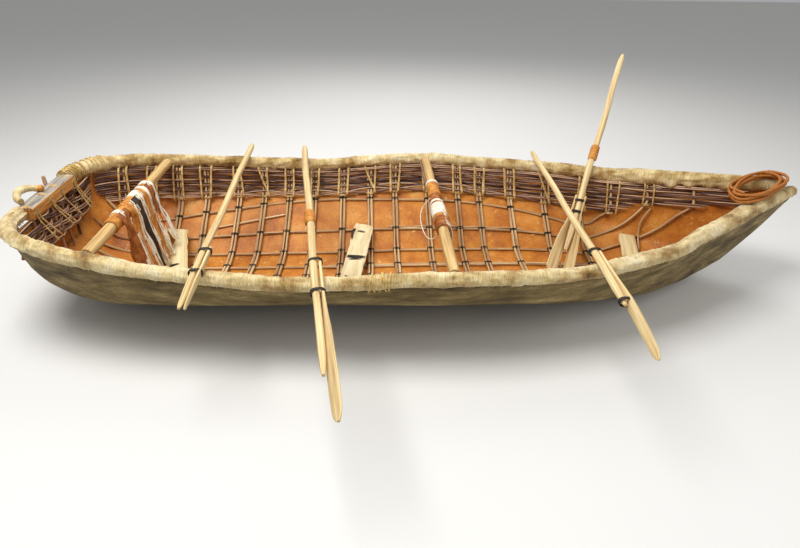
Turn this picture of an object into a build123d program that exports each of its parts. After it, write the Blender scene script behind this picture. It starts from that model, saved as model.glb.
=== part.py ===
"""An open skin boat with a willow frame: hide hull, rolled rims, woven band, ribs, thwarts and four paddles.

X runs from the stern to the bow, Y to port and Z up. The origin is on the flat of the hull's bottom, amidships.
Every section of the hull stands across the boat and has the same five stretches on each side, from the keel out:
floor (level), turn (arc), slope (straight), bilge (arc) and side (straight). Rods of the frame keep to those stretches.
"""

import os
from collections import namedtuple
from math import cos, hypot, radians, sin, tan

from build123d import *

os.makedirs("parts", exist_ok=True)

# Hull form
SLOPE_ANGLE = 34.0
SIDE_ANGLE = 70.0
HIDE = 5.0
GAP = 0.3

# Lines of the outer hull: place along the boat, half breadth and height of the hide's edge, height of the keel,
# half width of the level floor, radius of the turn, radius of the bilge, radius of the rim's roll
Station = namedtuple("Station", "x half_beam edge keel floor turn bilge roll")
STATIONS = [
    Station(-1570, 305, 398, 190, 80, 70, 60, 28),
    Station(-1525, 372, 396, 138, 110, 90, 75, 30),
    Station(-1440, 430, 390, 70, 120, 130, 100, 30),
    Station(-1240, 500, 372, 10, 120, 200, 120, 30),
    Station(-940, 555, 345, 0, 120, 240, 140, 28),
    Station(-470, 592, 318, 0, 120, 260, 140, 28),
    Station(0, 608, 342, 0, 130, 280, 140, 28),
    Station(450, 566, 326, 0, 130, 280, 140, 28),
    Station(860, 436, 328, 0, 100, 220, 120, 30),
    Station(1110, 300, 352, 12, 50, 120, 100, 33),
    Station(1360, 160, 386, 85, 8, 26, 30, 34),
    Station(1500, 84, 404, 225, 3, 13, 13, 32),
    Station(1605, 32, 424, 380, 3, 8, 8, 26),
]
STERN = STATIONS[0].x
BOW = STATIONS[-1].x

# Willow frame: radii of its rods, and how far the middle of each layer lies inside the outer hull
STRINGER_R = 6.5
RIB_R = 6.0
WEAVER_R = 4.8
STRINGER_INSET = HIDE + GAP + STRINGER_R
RIB_INSET = STRINGER_INSET + STRINGER_R + GAP + RIB_R
RIB_PAIR = 8.0

# How far a weaver's middle passes from the middle of a pair of rods or of a single one, with its slack on the slant
PAIR_SLACK = 3.6
ROD_SLACK = 0.4
WEAVE_AT_PAIR = RIB_R + GAP + WEAVER_R + PAIR_SLACK
WEAVE_AT_ROD = STRINGER_R + GAP + WEAVER_R + ROD_SLACK

# Ribs amidships, each a pair of rods across the boat
RIBS = [-1190, -1062, -905, -780, -652, -525, -380, -240, -110, 60, 218, 330, 492, 664, 836]
RIB_DROP = 8.0

# Stringers: name, stretch of the section, share of that stretch, where the straight run starts and ends, the places
# that it sweeps up through at the stern and at the bow, and how far below the hide's edge it stands at its last place
STRINGERS = [
    ("keel", "floor", 0.0, -1528, 1380, [], [], None),
    ("floor", "floor", 0.80, -1528, 940, [],
     [(1004, "floor", 0.95), (1100, "turn", 0.4), (1180, "slope", 0.03), (1328, "side", 0.1), (1444, "side", 0.45)], 8),
    ("turn", "turn", 0.62, -1528, 850, [],
     [(892, "turn", 0.79), (984, "slope", 0.27), (1096, "bilge", 0.43), (1176, "side", 0.2), (1232, "side", 0.45),
      (1288, "side", 0.65)], 8),
    ("slope", "slope", 0.22, -1440, 796, [(-1528, "slope", 0.5)],
     [(858, "slope", 0.36), (872, "slope", 0.4), (976, "bilge", 0.14), (1048, "side", 0.15),
      (1112, "side", 0.6)], 8),
    ("bilge", "slope", 0.80, -1400, 808,
     [(-1436, "slope", 0.9), (-1448, "slope", 0.93), (-1500, "bilge", 0.85)],
     [(858, "slope", 0.98), (884, "bilge", 0.14), (928, "bilge", 0.95), (968, "side", 0.25)], 8),
]

# Where the sweeps at the bow start to rise from the hide to the ribs' layer, and at the stern
BOW_RISE = 860
STERN_RISE = -1440

# Single rods that stand in the band: half ribs at the stern, and the ends of the stringers at the bow
STERN_POSTS = [-1425, -1310]
BOW_POSTS = [968, 1112, 1288, 1444]
UPRIGHTS = STERN_POSTS + RIBS + BOW_POSTS

# Short rod on each side that hangs from the band over the turn's sweep: place, stretch, share and inset
BOW_BRANCH = [(1132, "side", 0.52, 25.0), (1096, "side", 0.2, 29.0), (1087, "bilge", 0.4, 32.3),
              (1080, "slope", 0.27, 28.0)]

# Woven band: how far the first row lies below the hide's edge, the step between rows, and where each starts and ends
WEAVER_FIRST = 10.0
WEAVER_STEP = 20.0
WEAVERS = [(-1500, 1480)] * 4 + [(-1500, 1345), (-1490, 1080), (-1470, 1050), (-1465, 1010)]

# Stern: squared timber, the upright sticks behind it and the rows woven across them
BEAM_WIDE = 66.0
BEAM_TALL = 52.0
BEAM_HALF = 178.0
BEAM_CHAMFER = 5.0
CORNER_OUT = 16.0
STERN_STICKS = [-180, -108, -36, 36, 108, 180]
STERN_ROWS = [
    ("side", 0.86), ("side", 0.62), ("side", 0.38), ("side", 0.14),
    ("bilge", 0.62), ("bilge", 0.24), ("slope", 0.92), ("slope", 0.82),
]

# Thwarts: name, place, radius, where the leather wrap starts and ends to port
THWARTS = [("aft", -1228, 22.0, 170, -250), ("mid", 52, 21.0, 240, -235)]
WRAP_THICK = 5.0
THWART_CHAMFER = 2.0

# Thin stick beside the port end of the thwart amidships: radius and where it ends
STICK_R = 6.0
STICK_TO = 250

# Strips of hide hung from the wraps: thwart, place to port, width, foot above the keel, lean forward
STRIPS = [
    ("aft", 148, 30, 150, 60), ("aft", 96, 42, 116, 44), ("aft", 36, 36, 106, 50), ("aft", -30, 44, 98, 44),
    ("aft", -95, 40, 90, 50), ("aft", -172, 66, 84, 36), ("mid", -110, 28, 70, 40), ("mid", -160, 36, 66, 50),
    ("mid", -208, 28, 64, 40),
]
STRIP_THICK = 4.0

# Loose boards that lie across the ribs: name, port end and the rib under it, starboard end and the rib under it,
# width, thickness and how far the rods beneath it stand in from the hide's own curve
BOARDS = [
    ("aft", (-1195, 300), -1190, (-1075, -190), -1062, 115, 14, 0),
    ("mid", (-268, 320), -240, (-345, -150), -380, 95, 12, 0),
    ("bow", (1035, 210), 1000, (965, -110), 950, 80, 14, 2.4),
]
BOARD_CORNER = 0.125

# Paddles that lie across both rims: name, shaft's radius, places on the port and starboard rims, how far the butt
# and the shaft's end reach past those places, and, from the starboard rim, where the blade starts, where its neck
# ends, where it ends and where its lashings are
PADDLES = [
    ("1", 14.0, -855, -822, 150, 250, -125, 70, 255, (-105, 40)),
    ("2", 16.0, -572, -428, 135, 515, -95, 150, 680, (-80, 115)),
    ("4", 14.0, 618, 568, 110, 290, -70, 300, 550, (-60, 262)),
]
BLADE_THICK = 12.0
BLADE_NECK = 26.0
BLADE_WIDE = 84.0
TIP_LONG = 14.0
TIP_WIDE = 32.0
LASHING_WIDE = 16.0
LASHING_THICK = 3.0
LASHING_CORNER = 4.0

# Paddle that leans on the port rim with its two blades on the bottom: its whole length, the blades' length, how far
# they reach past the shaft and where they are lashed to it
LEAN_R = 16.0
LEAN_FOOT = (625, -52, 58)
LEAN_RIM = 878
LEAN_SLACK = 0.4
LEAN_LENGTH = 1390.0
LEAN_BLADES = 430.0
LEAN_NECK = 130.0
LEAN_BARE = 120.0
LEAN_LASHINGS = (25, 90)

# Leather sleeves on the shafts: paddle, where each starts and ends from the butt, and its thickness
SLEEVES = {"2": (841, 941), "3": (650, 735)}
SLEEVE_THICK = 4.0
SHAFT_CHAMFER = 1 / 3

# Roll of hide that lies over the stern's timber and loops out behind it: radius, and places with heights above the
# timber's top
STERN_ROLL_R = 13.0
STERN_ROLL = [(-1588, -150, 0), (-1615, -128, 6), (-1632, -80, 13), (-1622, -35, 9), (-1590, -12, 0)]

# Stub of a stick behind the timber: radius, place to port and heights; and the strap of hide that hangs from the
# roll at the starboard corner: its outline from the side, place and width
PEG_R = 8.0
PEG_AT = 78
PEG_HEIGHTS = (405, 482)
STRAP = [(-1591, 399.2), (-1581, 399.2), (-1580, 300), (-1576, 284), (-1576, 262), (-1606, 262), (-1606, 280),
         (-1590, 300)]
STRAP_AT = -240
STRAP_WIDE = 40.0

# Rope coil over the stem: middle, length and width of the loop, its thickness and turn
COIL_MIDDLE = (1418, -55)
COIL_LONG = 350.0
COIL_WIDE = 120.0
COIL_R = 15.0
COIL_CHAMFER = 6.0
COIL_TURN = 32.0


def station_at(x):
    """The hull's measures at x, between the two stations beside it."""
    for low, high in zip(STATIONS, STATIONS[1:]):
        if low.x <= x <= high.x:
            share = (x - low.x) / (high.x - low.x)
            return Station(*[a + (b - a) * share for a, b in zip(low, high)])
    raise ValueError(f"x = {x} is off the hull")


def straight_runs(s):
    """Lengths of the slope and the side that bring a section out to its half breadth and up to its edge."""
    a, b = radians(SLOPE_ANGLE), radians(SIDE_ANGLE)
    across = s.half_beam - s.floor - s.turn * sin(a) - s.bilge * (sin(b) - sin(a))
    rise = s.edge - s.keel - s.turn * (1 - cos(a)) - s.bilge * (cos(a) - cos(b))
    side = (rise * cos(a) - across * sin(a)) / sin(b - a)
    return (across - side * cos(b)) / cos(a), side


def hull_point(x, stretch, share, inset=0.0):
    """Distance out from the middle and height of a point on the section at x, moved inwards by inset."""
    s = station_at(x)
    a, b = radians(SLOPE_ANGLE), radians(SIDE_ANGLE)
    slope, side = straight_runs(s)
    if stretch == "floor":
        return s.floor * share, s.keel + inset
    if stretch == "turn":
        angle = a * share
        radius = s.turn - inset
        return s.floor + radius * sin(angle), s.keel + s.turn - radius * cos(angle)
    out = s.floor + s.turn * sin(a)
    up = s.keel + s.turn * (1 - cos(a))
    if stretch == "slope":
        run = slope * share
        return out + run * cos(a) - inset * sin(a), up + run * sin(a) + inset * cos(a)
    out += slope * cos(a) - s.bilge * sin(a)
    up += slope * sin(a) + s.bilge * cos(a)
    if stretch == "bilge":
        angle = a + (b - a) * share
        radius = s.bilge - inset
        return out + radius * sin(angle), up - radius * cos(angle)
    run = side * share
    out += s.bilge * sin(b) + run * cos(b)
    up += -s.bilge * cos(b) + run * sin(b)
    return out - inset * sin(b), up + inset * cos(b)


def band_point(x, drop, inset):
    """Point on the section at x, drop below the hide's edge along the outer hull, moved inwards by inset."""
    s = station_at(x)
    slope, side = straight_runs(s)
    arc = s.bilge * radians(SIDE_ANGLE - SLOPE_ANGLE)
    if drop <= side:
        return hull_point(x, "side", 1 - drop / side, inset)
    if drop <= side + arc:
        return hull_point(x, "bilge", 1 - (drop - side) / arc, inset)
    return hull_point(x, "slope", 1 - (drop - side - arc) / slope, inset)


def height_over(x, out, inset):
    """Height of the section at x, moved inwards by inset, at a distance out from the middle, below the bilge."""
    s = station_at(x)
    if out <= s.floor:
        return s.keel + inset
    turn_end = hull_point(x, "turn", 1, inset)
    if out <= turn_end[0]:
        return s.keel + s.turn - ((s.turn - inset) ** 2 - (out - s.floor) ** 2) ** 0.5
    return turn_end[1] + (out - turn_end[0]) * tan(radians(SLOPE_ANGLE))


def across(x):
    """Plane across the boat at x, with its own x to port and its y up."""
    return Plane(origin=(x, 0, 0), x_dir=(0, 1, 0), z_dir=(1, 0, 0))


def section_edges(x, inset):
    """Port half of a section as edges, from the keel out to the side's end."""
    ends = [(0.0, hull_point(x, "floor", 0, inset)[1]), hull_point(x, "floor", 1, inset)]
    turn = [hull_point(x, "turn", share, inset) for share in (0.5, 1)]
    slope = hull_point(x, "slope", 1, inset)
    bilge = [hull_point(x, "bilge", share, inset) for share in (0.5, 1)]
    side = hull_point(x, "side", 1, inset)
    Line(ends[0], ends[1])
    ThreePointArc(ends[1], turn[0], turn[1])
    Line(turn[1], slope)
    ThreePointArc(slope, bilge[0], bilge[1])
    Line(bilge[1], side)
    return side


def roll_centre(x):
    """Distance out and height of the middle of the rim's roll."""
    s = station_at(x)
    return s.half_beam - HIDE / 2, s.edge + s.roll + GAP + HIDE * cos(radians(SIDE_ANGLE))


def roll_inside(x):
    """Distance out of the face that the rim's roll turns to the middle of the boat."""
    taper = roll_centre(x + 1)[0] - roll_centre(x)[0]
    return roll_centre(x)[0] - station_at(x).roll * hypot(1, taper)


def inward(x, stretch, share):
    """Direction out from the middle and up in which a point of the section at x moves as its inset grows."""
    before, after = (hull_point(x, stretch, share, inset) for inset in (0, 1))
    return after[0] - before[0], after[1] - before[1]


def rod(points, radius, facing=None, sides=6, level=()):
    """Ruled rod through points, its sections across the boat or, with facing given, square to its runs. Corners
    point square to facing, or along it where it is a list with one direction for each point. Level says which points
    along the boat keep a section across it with their corner so turned."""
    sections = []
    for number, point in enumerate(points):
        if facing is None:
            plane = Plane(origin=point, x_dir=(0, 1, 0), z_dir=(1, 0, 0))
        else:
            run = Vector(*points[min(number + 1, len(points) - 1)]) - Vector(*points[max(number - 1, 0)])
            if point[0] in level:
                run = Vector(1, 0, 0)
            if isinstance(facing, list):
                corner = run.cross(Vector(*facing[number])).cross(run)
            else:
                corner = run.cross(Vector(*facing))
            plane = Plane(origin=point, x_dir=corner, z_dir=run)
        with BuildSketch(plane) as section:
            RegularPolygon(radius, sides)
        sections.append(section.sketch.face())
    loft(sections, ruled=True)


def upright_planes(points):
    """Upright planes through points, each turned halfway between the runs beside it."""
    planes = []
    for number, point in enumerate(points):
        before = points[max(number - 1, 0)]
        after = points[min(number + 1, len(points) - 1)]
        run_x, run_y = after[0] - before[0], after[1] - before[1]
        length = hypot(run_x, run_y)
        facing = (run_x / length, run_y / length, 0)
        planes.append(Plane(origin=point, x_dir=(-facing[1], facing[0], 0), z_dir=facing))
    return planes


def along(start, heading, distance):
    return tuple(a + b * distance for a, b in zip(start, heading))


def unit(start, end):
    run = [b - a for a, b in zip(start, end)]
    length = hypot(*run)
    return tuple(v / length for v in run)


def finish(piece, name):
    piece.part.label = name
    export_step(piece.part, f"parts/{name}.step")


# Hide cover of the hull, with its flat stern and the blunt end of the stem
with BuildPart() as hide_shell:
    for s in STATIONS:
        with BuildSketch(across(s.x)):
            with BuildLine():
                outer = section_edges(s.x, 0)
                inner = section_edges(s.x, HIDE)
                Line(outer, inner)
                mirror(about=Plane.YZ)
            make_face()
    loft(ruled=True)
    for x, direction in ((STERN, 1), (BOW, -1)):
        with BuildSketch(across(x)):
            with BuildLine():
                outer = section_edges(x, 0)
                Line(outer, (0, outer[1]))
                mirror(about=Plane.YZ)
            make_face()
        extrude(amount=HIDE * direction)
finish(hide_shell, "hide_shell")


# Rolls of hide along the rims, bent in round the stern's corners to the beam
for side, name in ((1, "gunwale_port"), (-1, "gunwale_starboard")):
    path = [(s.x, *roll_centre(s.x), s.roll) for s in reversed(STATIONS)]
    _, last_y, last_z, last_radius = path[-1]
    path.append((STERN - CORNER_OUT, (last_y + BEAM_HALF) / 2, last_z, last_radius))
    path.append((STERN - CORNER_OUT, BEAM_HALF + GAP, last_z, last_radius))
    planes = upright_planes([(x, side * y, z) for x, y, z, _ in path])
    with BuildPart() as gunwale:
        for plane, (_, _, _, radius) in zip(planes, path):
            with BuildSketch(plane):
                Circle(radius)
        loft(ruled=True)
    finish(gunwale, name)

# Squared timber across the stern, between the ends of the rolls
beam_foot = STATIONS[0].edge + HIDE * cos(radians(SIDE_ANGLE)) + GAP
with BuildPart() as transom_beam:
    with BuildSketch(Plane.XZ.offset(-BEAM_HALF)):
        with Locations((STERN, beam_foot + BEAM_TALL / 2)):
            Rectangle(BEAM_WIDE, BEAM_TALL)
    extrude(amount=2 * BEAM_HALF)
    chamfer(transom_beam.edges().filter_by(Axis.Y), BEAM_CHAMFER)
finish(transom_beam, "transom_beam")

# Roll of hide looped over the timber, the stub of a stick behind it and the strap that hangs at its starboard end
beam_top = beam_foot + BEAM_TALL
with BuildPart() as stern_roll:
    points = [(x, y, beam_top + GAP + STERN_ROLL_R + up) for x, y, up in STERN_ROLL]
    rod(points, STERN_ROLL_R, facing=(0, 0, 1), sides=12)
finish(stern_roll, "stern_roll")
with BuildPart() as stern_peg:
    with BuildSketch(Plane.XY.offset(PEG_HEIGHTS[0])):
        with Locations((STERN - BEAM_WIDE / 2 - GAP - PEG_R, PEG_AT)):
            Circle(PEG_R)
    extrude(amount=PEG_HEIGHTS[1] - PEG_HEIGHTS[0])
finish(stern_peg, "stern_peg")
with BuildPart() as stern_strap:
    with BuildSketch(Plane.XZ.offset(-STRAP_AT - STRAP_WIDE / 2)):
        with BuildLine():
            Polyline(*STRAP, close=True)
        make_face()
    extrude(amount=STRAP_WIDE)
finish(stern_strap, "stern_strap")

# Upright sticks and woven rows across the stern
stick_x = STERN + HIDE + GAP + WEAVER_R + WEAVE_AT_ROD
with BuildPart() as wicker_stern:
    for y in STERN_STICKS:
        foot = height_over(stick_x - RIB_R, abs(y) + RIB_R, HIDE) + GAP
        with BuildSketch(Plane.XY.offset(foot)):
            with Locations((stick_x, y)):
                RegularPolygon(RIB_R, 6)
        extrude(amount=beam_foot - GAP - foot)
    for row, (stretch, share) in enumerate(STERN_ROWS):
        reach, height = hull_point(stick_x - WEAVER_R, stretch, share, HIDE + GAP + WEAVER_R)
        stops = [(-reach, 0)]
        for number, y in enumerate(STERN_STICKS):
            lay = 1 if (number + row) % 2 else -1
            if abs(y) < reach - WEAVER_R:
                stops.append((y, lay))
        stops.append((reach, 0))
        rod([(stick_x + lay * WEAVE_AT_ROD, y, height) for y, lay in stops], WEAVER_R, facing=(0, 0, 1))
finish(wicker_stern, "wicker_stern")

# Stringers along the inside of the hide, swept up at the bow to stand in the woven band
for name, stretch, share, start, end, stern_sweep, bow_sweep, stand in STRINGERS:
    stops = [start] + [s.x for s in STATIONS if start < s.x < end] + [end]
    places = [(x, stretch, share, STRINGER_INSET) for x in stops]
    for sweep, rise in ((stern_sweep, STERN_RISE), (bow_sweep, BOW_RISE)):
        for x, sweep_stretch, sweep_share in sweep:
            risen = max(0, (x - rise) / (sweep[-1][0] - rise))
            inset = STRINGER_INSET + (RIB_INSET - STRINGER_INSET) * risen
            places.insert(0 if x < start else len(places), (x, sweep_stretch, sweep_share, inset))
    points = [(x, *hull_point(x, *place)) for x, *place in places]
    faces = [inward(x, *place) for x, *place, _ in places]
    if stand is not None:
        top = bow_sweep[-1][0]
        points.append((top, *band_point(top, stand, RIB_INSET)))
        faces.append(inward(top, "side", 1))
    with BuildPart() as stringer:
        for side in (1,) if name == "keel" else (1, -1):
            corners = [(0, side * y, z) for y, z in faces]
            rod([(x, side * y, z) for x, y, z in points], STRINGER_R, facing=corners, level=stops)
    finish(stringer, f"stringer_{name}")

# Ribs amidships: pairs of bent rods across the boat, inside the stringers, each a run of short straights
third = len(RIBS) // 3
for name, places in (("aft", RIBS[:third]), ("midships", RIBS[third:2 * third]), ("forward", RIBS[2 * third:])):
    with BuildPart() as ribs:
        for place in [x + offset for x in places for offset in (-RIB_PAIR, RIB_PAIR)]:
            half = [band_point(place, RIB_DROP, RIB_INSET)]
            half += [hull_point(place, "bilge", share, RIB_INSET) for share in (1, 2 / 3, 1 / 3, 0)]
            half += [hull_point(place, "turn", share, RIB_INSET) for share in (1, 2 / 3, 1 / 3, 0)]
            starboard = [(place, -y, z) for y, z in reversed(half)]
            rod([(place, y, z) for y, z in half] + starboard, RIB_R, facing=(1, 0, 0))
    finish(ribs, f"ribs_{name}")

# Half ribs at the stern, from the top of the band down to the stringer at the bilge
with BuildPart() as rods_stern:
    for place in STERN_POSTS:
        half = [band_point(place, RIB_DROP, RIB_INSET)]
        half += [hull_point(place, "bilge", share, RIB_INSET) for share in (1, 0.5, 0)]
        half.append(hull_point(place, "slope", 0.75, RIB_INSET))
        for side in (1, -1):
            rod([(place, side * y, z) for y, z in half], RIB_R, facing=(1, 0, 0))
finish(rods_stern, "rods_stern")

# Short branches at the bow
with BuildPart() as rods_bow:
    for side in (1, -1):
        points = [(x, *hull_point(x, *place)) for x, *place in BOW_BRANCH]
        rod([(x, side * y, z) for x, y, z in points], RIB_R, facing=(1, 0, 0))
finish(rods_bow, "rods_bow")

# Woven band along each side: every row passes behind one upright and before the next
for side, name in ((1, "wicker_port"), (-1, "wicker_starboard")):
    with BuildPart() as wicker:
        for row, (start, end) in enumerate(WEAVERS):
            drop = WEAVER_FIRST + row * WEAVER_STEP
            stops = [(start, 0)]
            for number, x in enumerate(UPRIGHTS):
                reach = WEAVE_AT_PAIR if x in RIBS else WEAVE_AT_ROD
                if x < end:
                    stops.append((x, reach if (number + row) % 2 else -reach))
            stops.append((end, 0))
            points = [(x, *band_point(x, drop, RIB_INSET + lay)) for x, lay in stops]
            rod([(x, side * y, z) for x, y, z in points], WEAVER_R)
    finish(wicker, name)

# Thwarts, butted between the rolls, and the leather wound round each
for name, place, radius, wrap_from, wrap_to in THWARTS:
    rim_z = roll_centre(place)[1]
    end_radius = radius - THWART_CHAMFER
    half_length = min(roll_inside(x) for x in (place - end_radius, place + end_radius)) - GAP
    with BuildPart() as thwart:
        with BuildSketch(Plane.XZ.offset(-half_length)):
            with Locations((place, rim_z)):
                Circle(radius)
        extrude(amount=2 * half_length)
        chamfer(thwart.edges().filter_by(GeomType.CIRCLE), THWART_CHAMFER)
    finish(thwart, f"thwart_{name}")
    with BuildPart() as wrap:
        with BuildSketch(Plane.XZ.offset(-wrap_from)):
            with Locations((place, rim_z)):
                Circle(radius + GAP + WRAP_THICK)
                Circle(radius + GAP, mode=Mode.SUBTRACT)
        extrude(amount=wrap_from - wrap_to)
    finish(wrap, f"thwart_{name}_wrap")

# Thin stick laid beside the port end of the thwart amidships
name, place, radius, _, _ = THWARTS[-1]
stick_at = place - radius - GAP - STICK_R
stick_end = min(roll_inside(x) for x in (stick_at - STICK_R, stick_at + STICK_R)) - GAP
with BuildPart() as stick:
    with BuildSketch(Plane.XZ.offset(-stick_end)):
        with Locations((stick_at, roll_centre(place)[1])):
            Circle(STICK_R)
    extrude(amount=stick_end - STICK_TO)
finish(stick, f"thwart_{name}_stick")

# Strips of hide that hang from the wraps
for name, place, radius, _, _ in THWARTS:
    rim_z = roll_centre(place)[1]
    with BuildPart() as strips:
        for thwart_name, y, width, foot, lean in STRIPS:
            if thwart_name == name:
                top = rim_z - radius - 2 * GAP - WRAP_THICK
                with BuildSketch(Plane.XZ.offset(-y - width / 2)):
                    with BuildLine():
                        Polyline((place, top), (place + STRIP_THICK, top), (place + STRIP_THICK + lean, foot),
                                 (place + lean, foot), close=True)
                    make_face()
                extrude(amount=width)
    finish(strips, f"thwart_{name}_strips")

# Loose boards that lie across the ribs
for name, port_end, port_rib, starboard_end, starboard_rib, width, thickness, lift in BOARDS:
    ends = []
    for (x, y), rib in ((port_end, port_rib), (starboard_end, starboard_rib)):
        edges = (rib - RIB_PAIR, rib + RIB_PAIR)
        ends.append((x, y, lift + max(height_over(edge, abs(y), RIB_INSET + RIB_R + 2 * GAP) for edge in edges)))
    heading = unit(*ends)
    with BuildPart() as board:
        with BuildSketch(Plane(origin=ends[0], x_dir=heading, z_dir=Vector(*heading).cross(Vector(1, 0, 0)))):
            length = hypot(*[b - a for a, b in zip(*ends)])
            with Locations((length / 2, 0)):
                RectangleRounded(length, width, width * BOARD_CORNER)
        extrude(amount=thickness)
    finish(board, f"board_{name}")


def blade_outline(start, neck, end):
    """Outline of a blade on edge: a narrow neck, widest halfway on from there, and a blunt point."""
    widest = (neck + end) / 2
    half = [(start, BLADE_NECK / 2), (neck, BLADE_NECK / 2), (widest, BLADE_WIDE / 2)]
    half += [(end - TIP_LONG, TIP_WIDE / 2), (end, 0)]
    return half + [(place, -up) for place, up in reversed(half[:-1])]


def paddle(name, butt, heading, radius, length, blades, lashings):
    """Shaft, blade on edge beside it and lashings round the two, along heading from butt."""
    beside = unit((0, 0, 0), (-heading[1], heading[0], 0))
    edge = radius + GAP
    with BuildPart() as shaft:
        with BuildSketch(Plane(origin=butt, x_dir=beside, z_dir=heading)):
            Circle(radius)
        extrude(amount=length)
        chamfer(shaft.edges().filter_by(GeomType.CIRCLE), radius * SHAFT_CHAMFER)
    finish(shaft, f"paddle_{name}_shaft")
    if name in SLEEVES:
        start, end = SLEEVES[name]
        with BuildPart() as sleeve:
            with BuildSketch(Plane(origin=along(butt, heading, start), x_dir=beside, z_dir=heading)):
                Circle(edge + SLEEVE_THICK)
                Circle(edge, mode=Mode.SUBTRACT)
            extrude(amount=end - start)
        finish(sleeve, f"paddle_{name}_sleeve")
    with BuildPart() as blade:
        for start, neck, end, lean in blades:
            hand = 1 if lean > 0 else -1
            with BuildSketch(Plane(origin=along(butt, beside, lean), x_dir=heading, z_dir=beside)):
                with BuildLine():
                    Polyline(*blade_outline(start, neck, end), close=True)
                make_face()
            extrude(amount=hand * BLADE_THICK)
    finish(blade, f"paddle_{name}_blade")
    with BuildPart() as lashing:
        for place, low, high in lashings:
            middle = along(along(butt, heading, place), beside, (low + high) / 2)
            with BuildSketch(Plane(origin=middle, x_dir=beside, z_dir=heading)) as band:
                Rectangle(high - low + 2 * (GAP + LASHING_THICK), 2 * (edge + LASHING_THICK))
                chamfer(band.vertices(), LASHING_CORNER)
                Rectangle(high - low + 2 * GAP, 2 * edge, mode=Mode.SUBTRACT)
            extrude(amount=LASHING_WIDE)
    finish(lashing, f"paddle_{name}_lashings")


# Three paddles that lie across both rims
for name, radius, port_x, starboard_x, butt_reach, end_reach, blade_from, neck_to, blade_to, places in PADDLES:
    rests = []
    for side, x in ((1, port_x), (-1, starboard_x)):
        y, z = roll_centre(x)
        rests.append((x, side * y, z + station_at(x).roll + GAP + radius))
    heading = unit(*rests)
    butt = along(rests[0], heading, -butt_reach)
    to_rim = butt_reach + hypot(*[b - a for a, b in zip(*rests)])
    paddle(name, butt, heading, radius, to_rim + end_reach,
           [(to_rim + blade_from, to_rim + neck_to, to_rim + blade_to, radius + GAP)],
           [(to_rim + place, -radius, radius + GAP + BLADE_THICK) for place in places])

# Paddle that leans on the port rim, its two blades down on the ribs
rim_top = Vector(LEAN_RIM, *roll_centre(LEAN_RIM))
rim_run = Vector(LEAN_RIM + 1, *roll_centre(LEAN_RIM + 1)) - rim_top
off_rim = (Vector(*LEAN_FOOT) - rim_top).cross(rim_run).normalized()
over_rim = rim_top + off_rim * (station_at(LEAN_RIM).roll + LEAN_R + GAP + LEAN_SLACK)
lean_heading = unit(tuple(over_rim), LEAN_FOOT)
lean_butt = along(LEAN_FOOT, lean_heading, -LEAN_LENGTH)
blade_from = LEAN_LENGTH - LEAN_BLADES
beside = LEAN_R + GAP
paddle("3", lean_butt, lean_heading, LEAN_R, LEAN_LENGTH - LEAN_BARE,
       [(blade_from, blade_from + LEAN_NECK, LEAN_LENGTH, lean) for lean in (beside, -beside)],
       [(blade_from + place, -beside - BLADE_THICK, beside + BLADE_THICK) for place in LEAN_LASHINGS])

# Coil of rope over the stem, on the tops of both rolls between the last stations
rest_aft, rest_fore = [(s.x, roll_centre(s.x)[1] + s.roll + GAP) for s in STATIONS[-3:-1]]
climb = (rest_fore[1] - rest_aft[1]) / (rest_fore[0] - rest_aft[0])
coil_foot = rest_aft[1] + climb * (COIL_MIDDLE[0] - rest_aft[0])
coil_plane = Plane(origin=(*COIL_MIDDLE, coil_foot), x_dir=(1, 0, climb), z_dir=(-climb, 0, 1))
with BuildPart() as bow_rope:
    straight = COIL_LONG - COIL_WIDE
    with BuildSketch(coil_plane):
        SlotCenterToCenter(straight, COIL_WIDE + 2 * COIL_R, rotation=COIL_TURN)
        SlotCenterToCenter(straight, COIL_WIDE - 2 * COIL_R, rotation=COIL_TURN, mode=Mode.SUBTRACT)
    extrude(amount=2 * COIL_R)
    flat_ends = bow_rope.faces().filter_by(GeomType.PLANE).sort_by(Axis.Z)
    chamfer(flat_ends[0].edges() + flat_ends[-1].edges(), COIL_CHAMFER)
finish(bow_rope, "bow_rope")
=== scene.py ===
"""Looks of the open skin boat: hide, furred rims, willow frame, woven band, poles, boards, paddles and rope.

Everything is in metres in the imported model's frame: X to the bow, Y to port, Z up, the origin under the
hull amidships.
"""

import random
from collections import namedtuple
from math import ceil, cos, floor, pi, radians, sin, sqrt

import bmesh
import bpy
import numpy as np
from mathutils import Matrix, Vector, noise


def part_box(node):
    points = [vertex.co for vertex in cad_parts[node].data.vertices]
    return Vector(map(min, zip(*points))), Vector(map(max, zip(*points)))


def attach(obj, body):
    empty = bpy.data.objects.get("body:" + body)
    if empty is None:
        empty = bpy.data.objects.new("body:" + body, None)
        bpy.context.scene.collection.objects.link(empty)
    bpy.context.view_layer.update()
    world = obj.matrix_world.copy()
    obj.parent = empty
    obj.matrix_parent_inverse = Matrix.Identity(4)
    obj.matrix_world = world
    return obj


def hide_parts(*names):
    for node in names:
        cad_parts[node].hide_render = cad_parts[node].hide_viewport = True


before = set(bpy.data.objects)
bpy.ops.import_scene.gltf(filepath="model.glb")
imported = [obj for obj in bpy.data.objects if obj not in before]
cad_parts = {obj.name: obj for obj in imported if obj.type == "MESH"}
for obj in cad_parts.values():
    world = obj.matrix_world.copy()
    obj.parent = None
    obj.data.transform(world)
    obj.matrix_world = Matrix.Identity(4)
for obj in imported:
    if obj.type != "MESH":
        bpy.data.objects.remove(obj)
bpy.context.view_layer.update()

dice = random.Random(11)
UP = Vector((0, 0, 1))

# Camera at the photograph's viewing angle
CAMERA_AT = Vector((-0.235, -2.206, 1.370))
CAMERA_DOWN = radians(31.28)
CAMERA_TO_BOW = radians(3.40)
CAMERA_ROLL = radians(1.07)
FOCAL_PX = 556.2
FRAME_PX = 800
SENSOR_MM = 36.0

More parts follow.
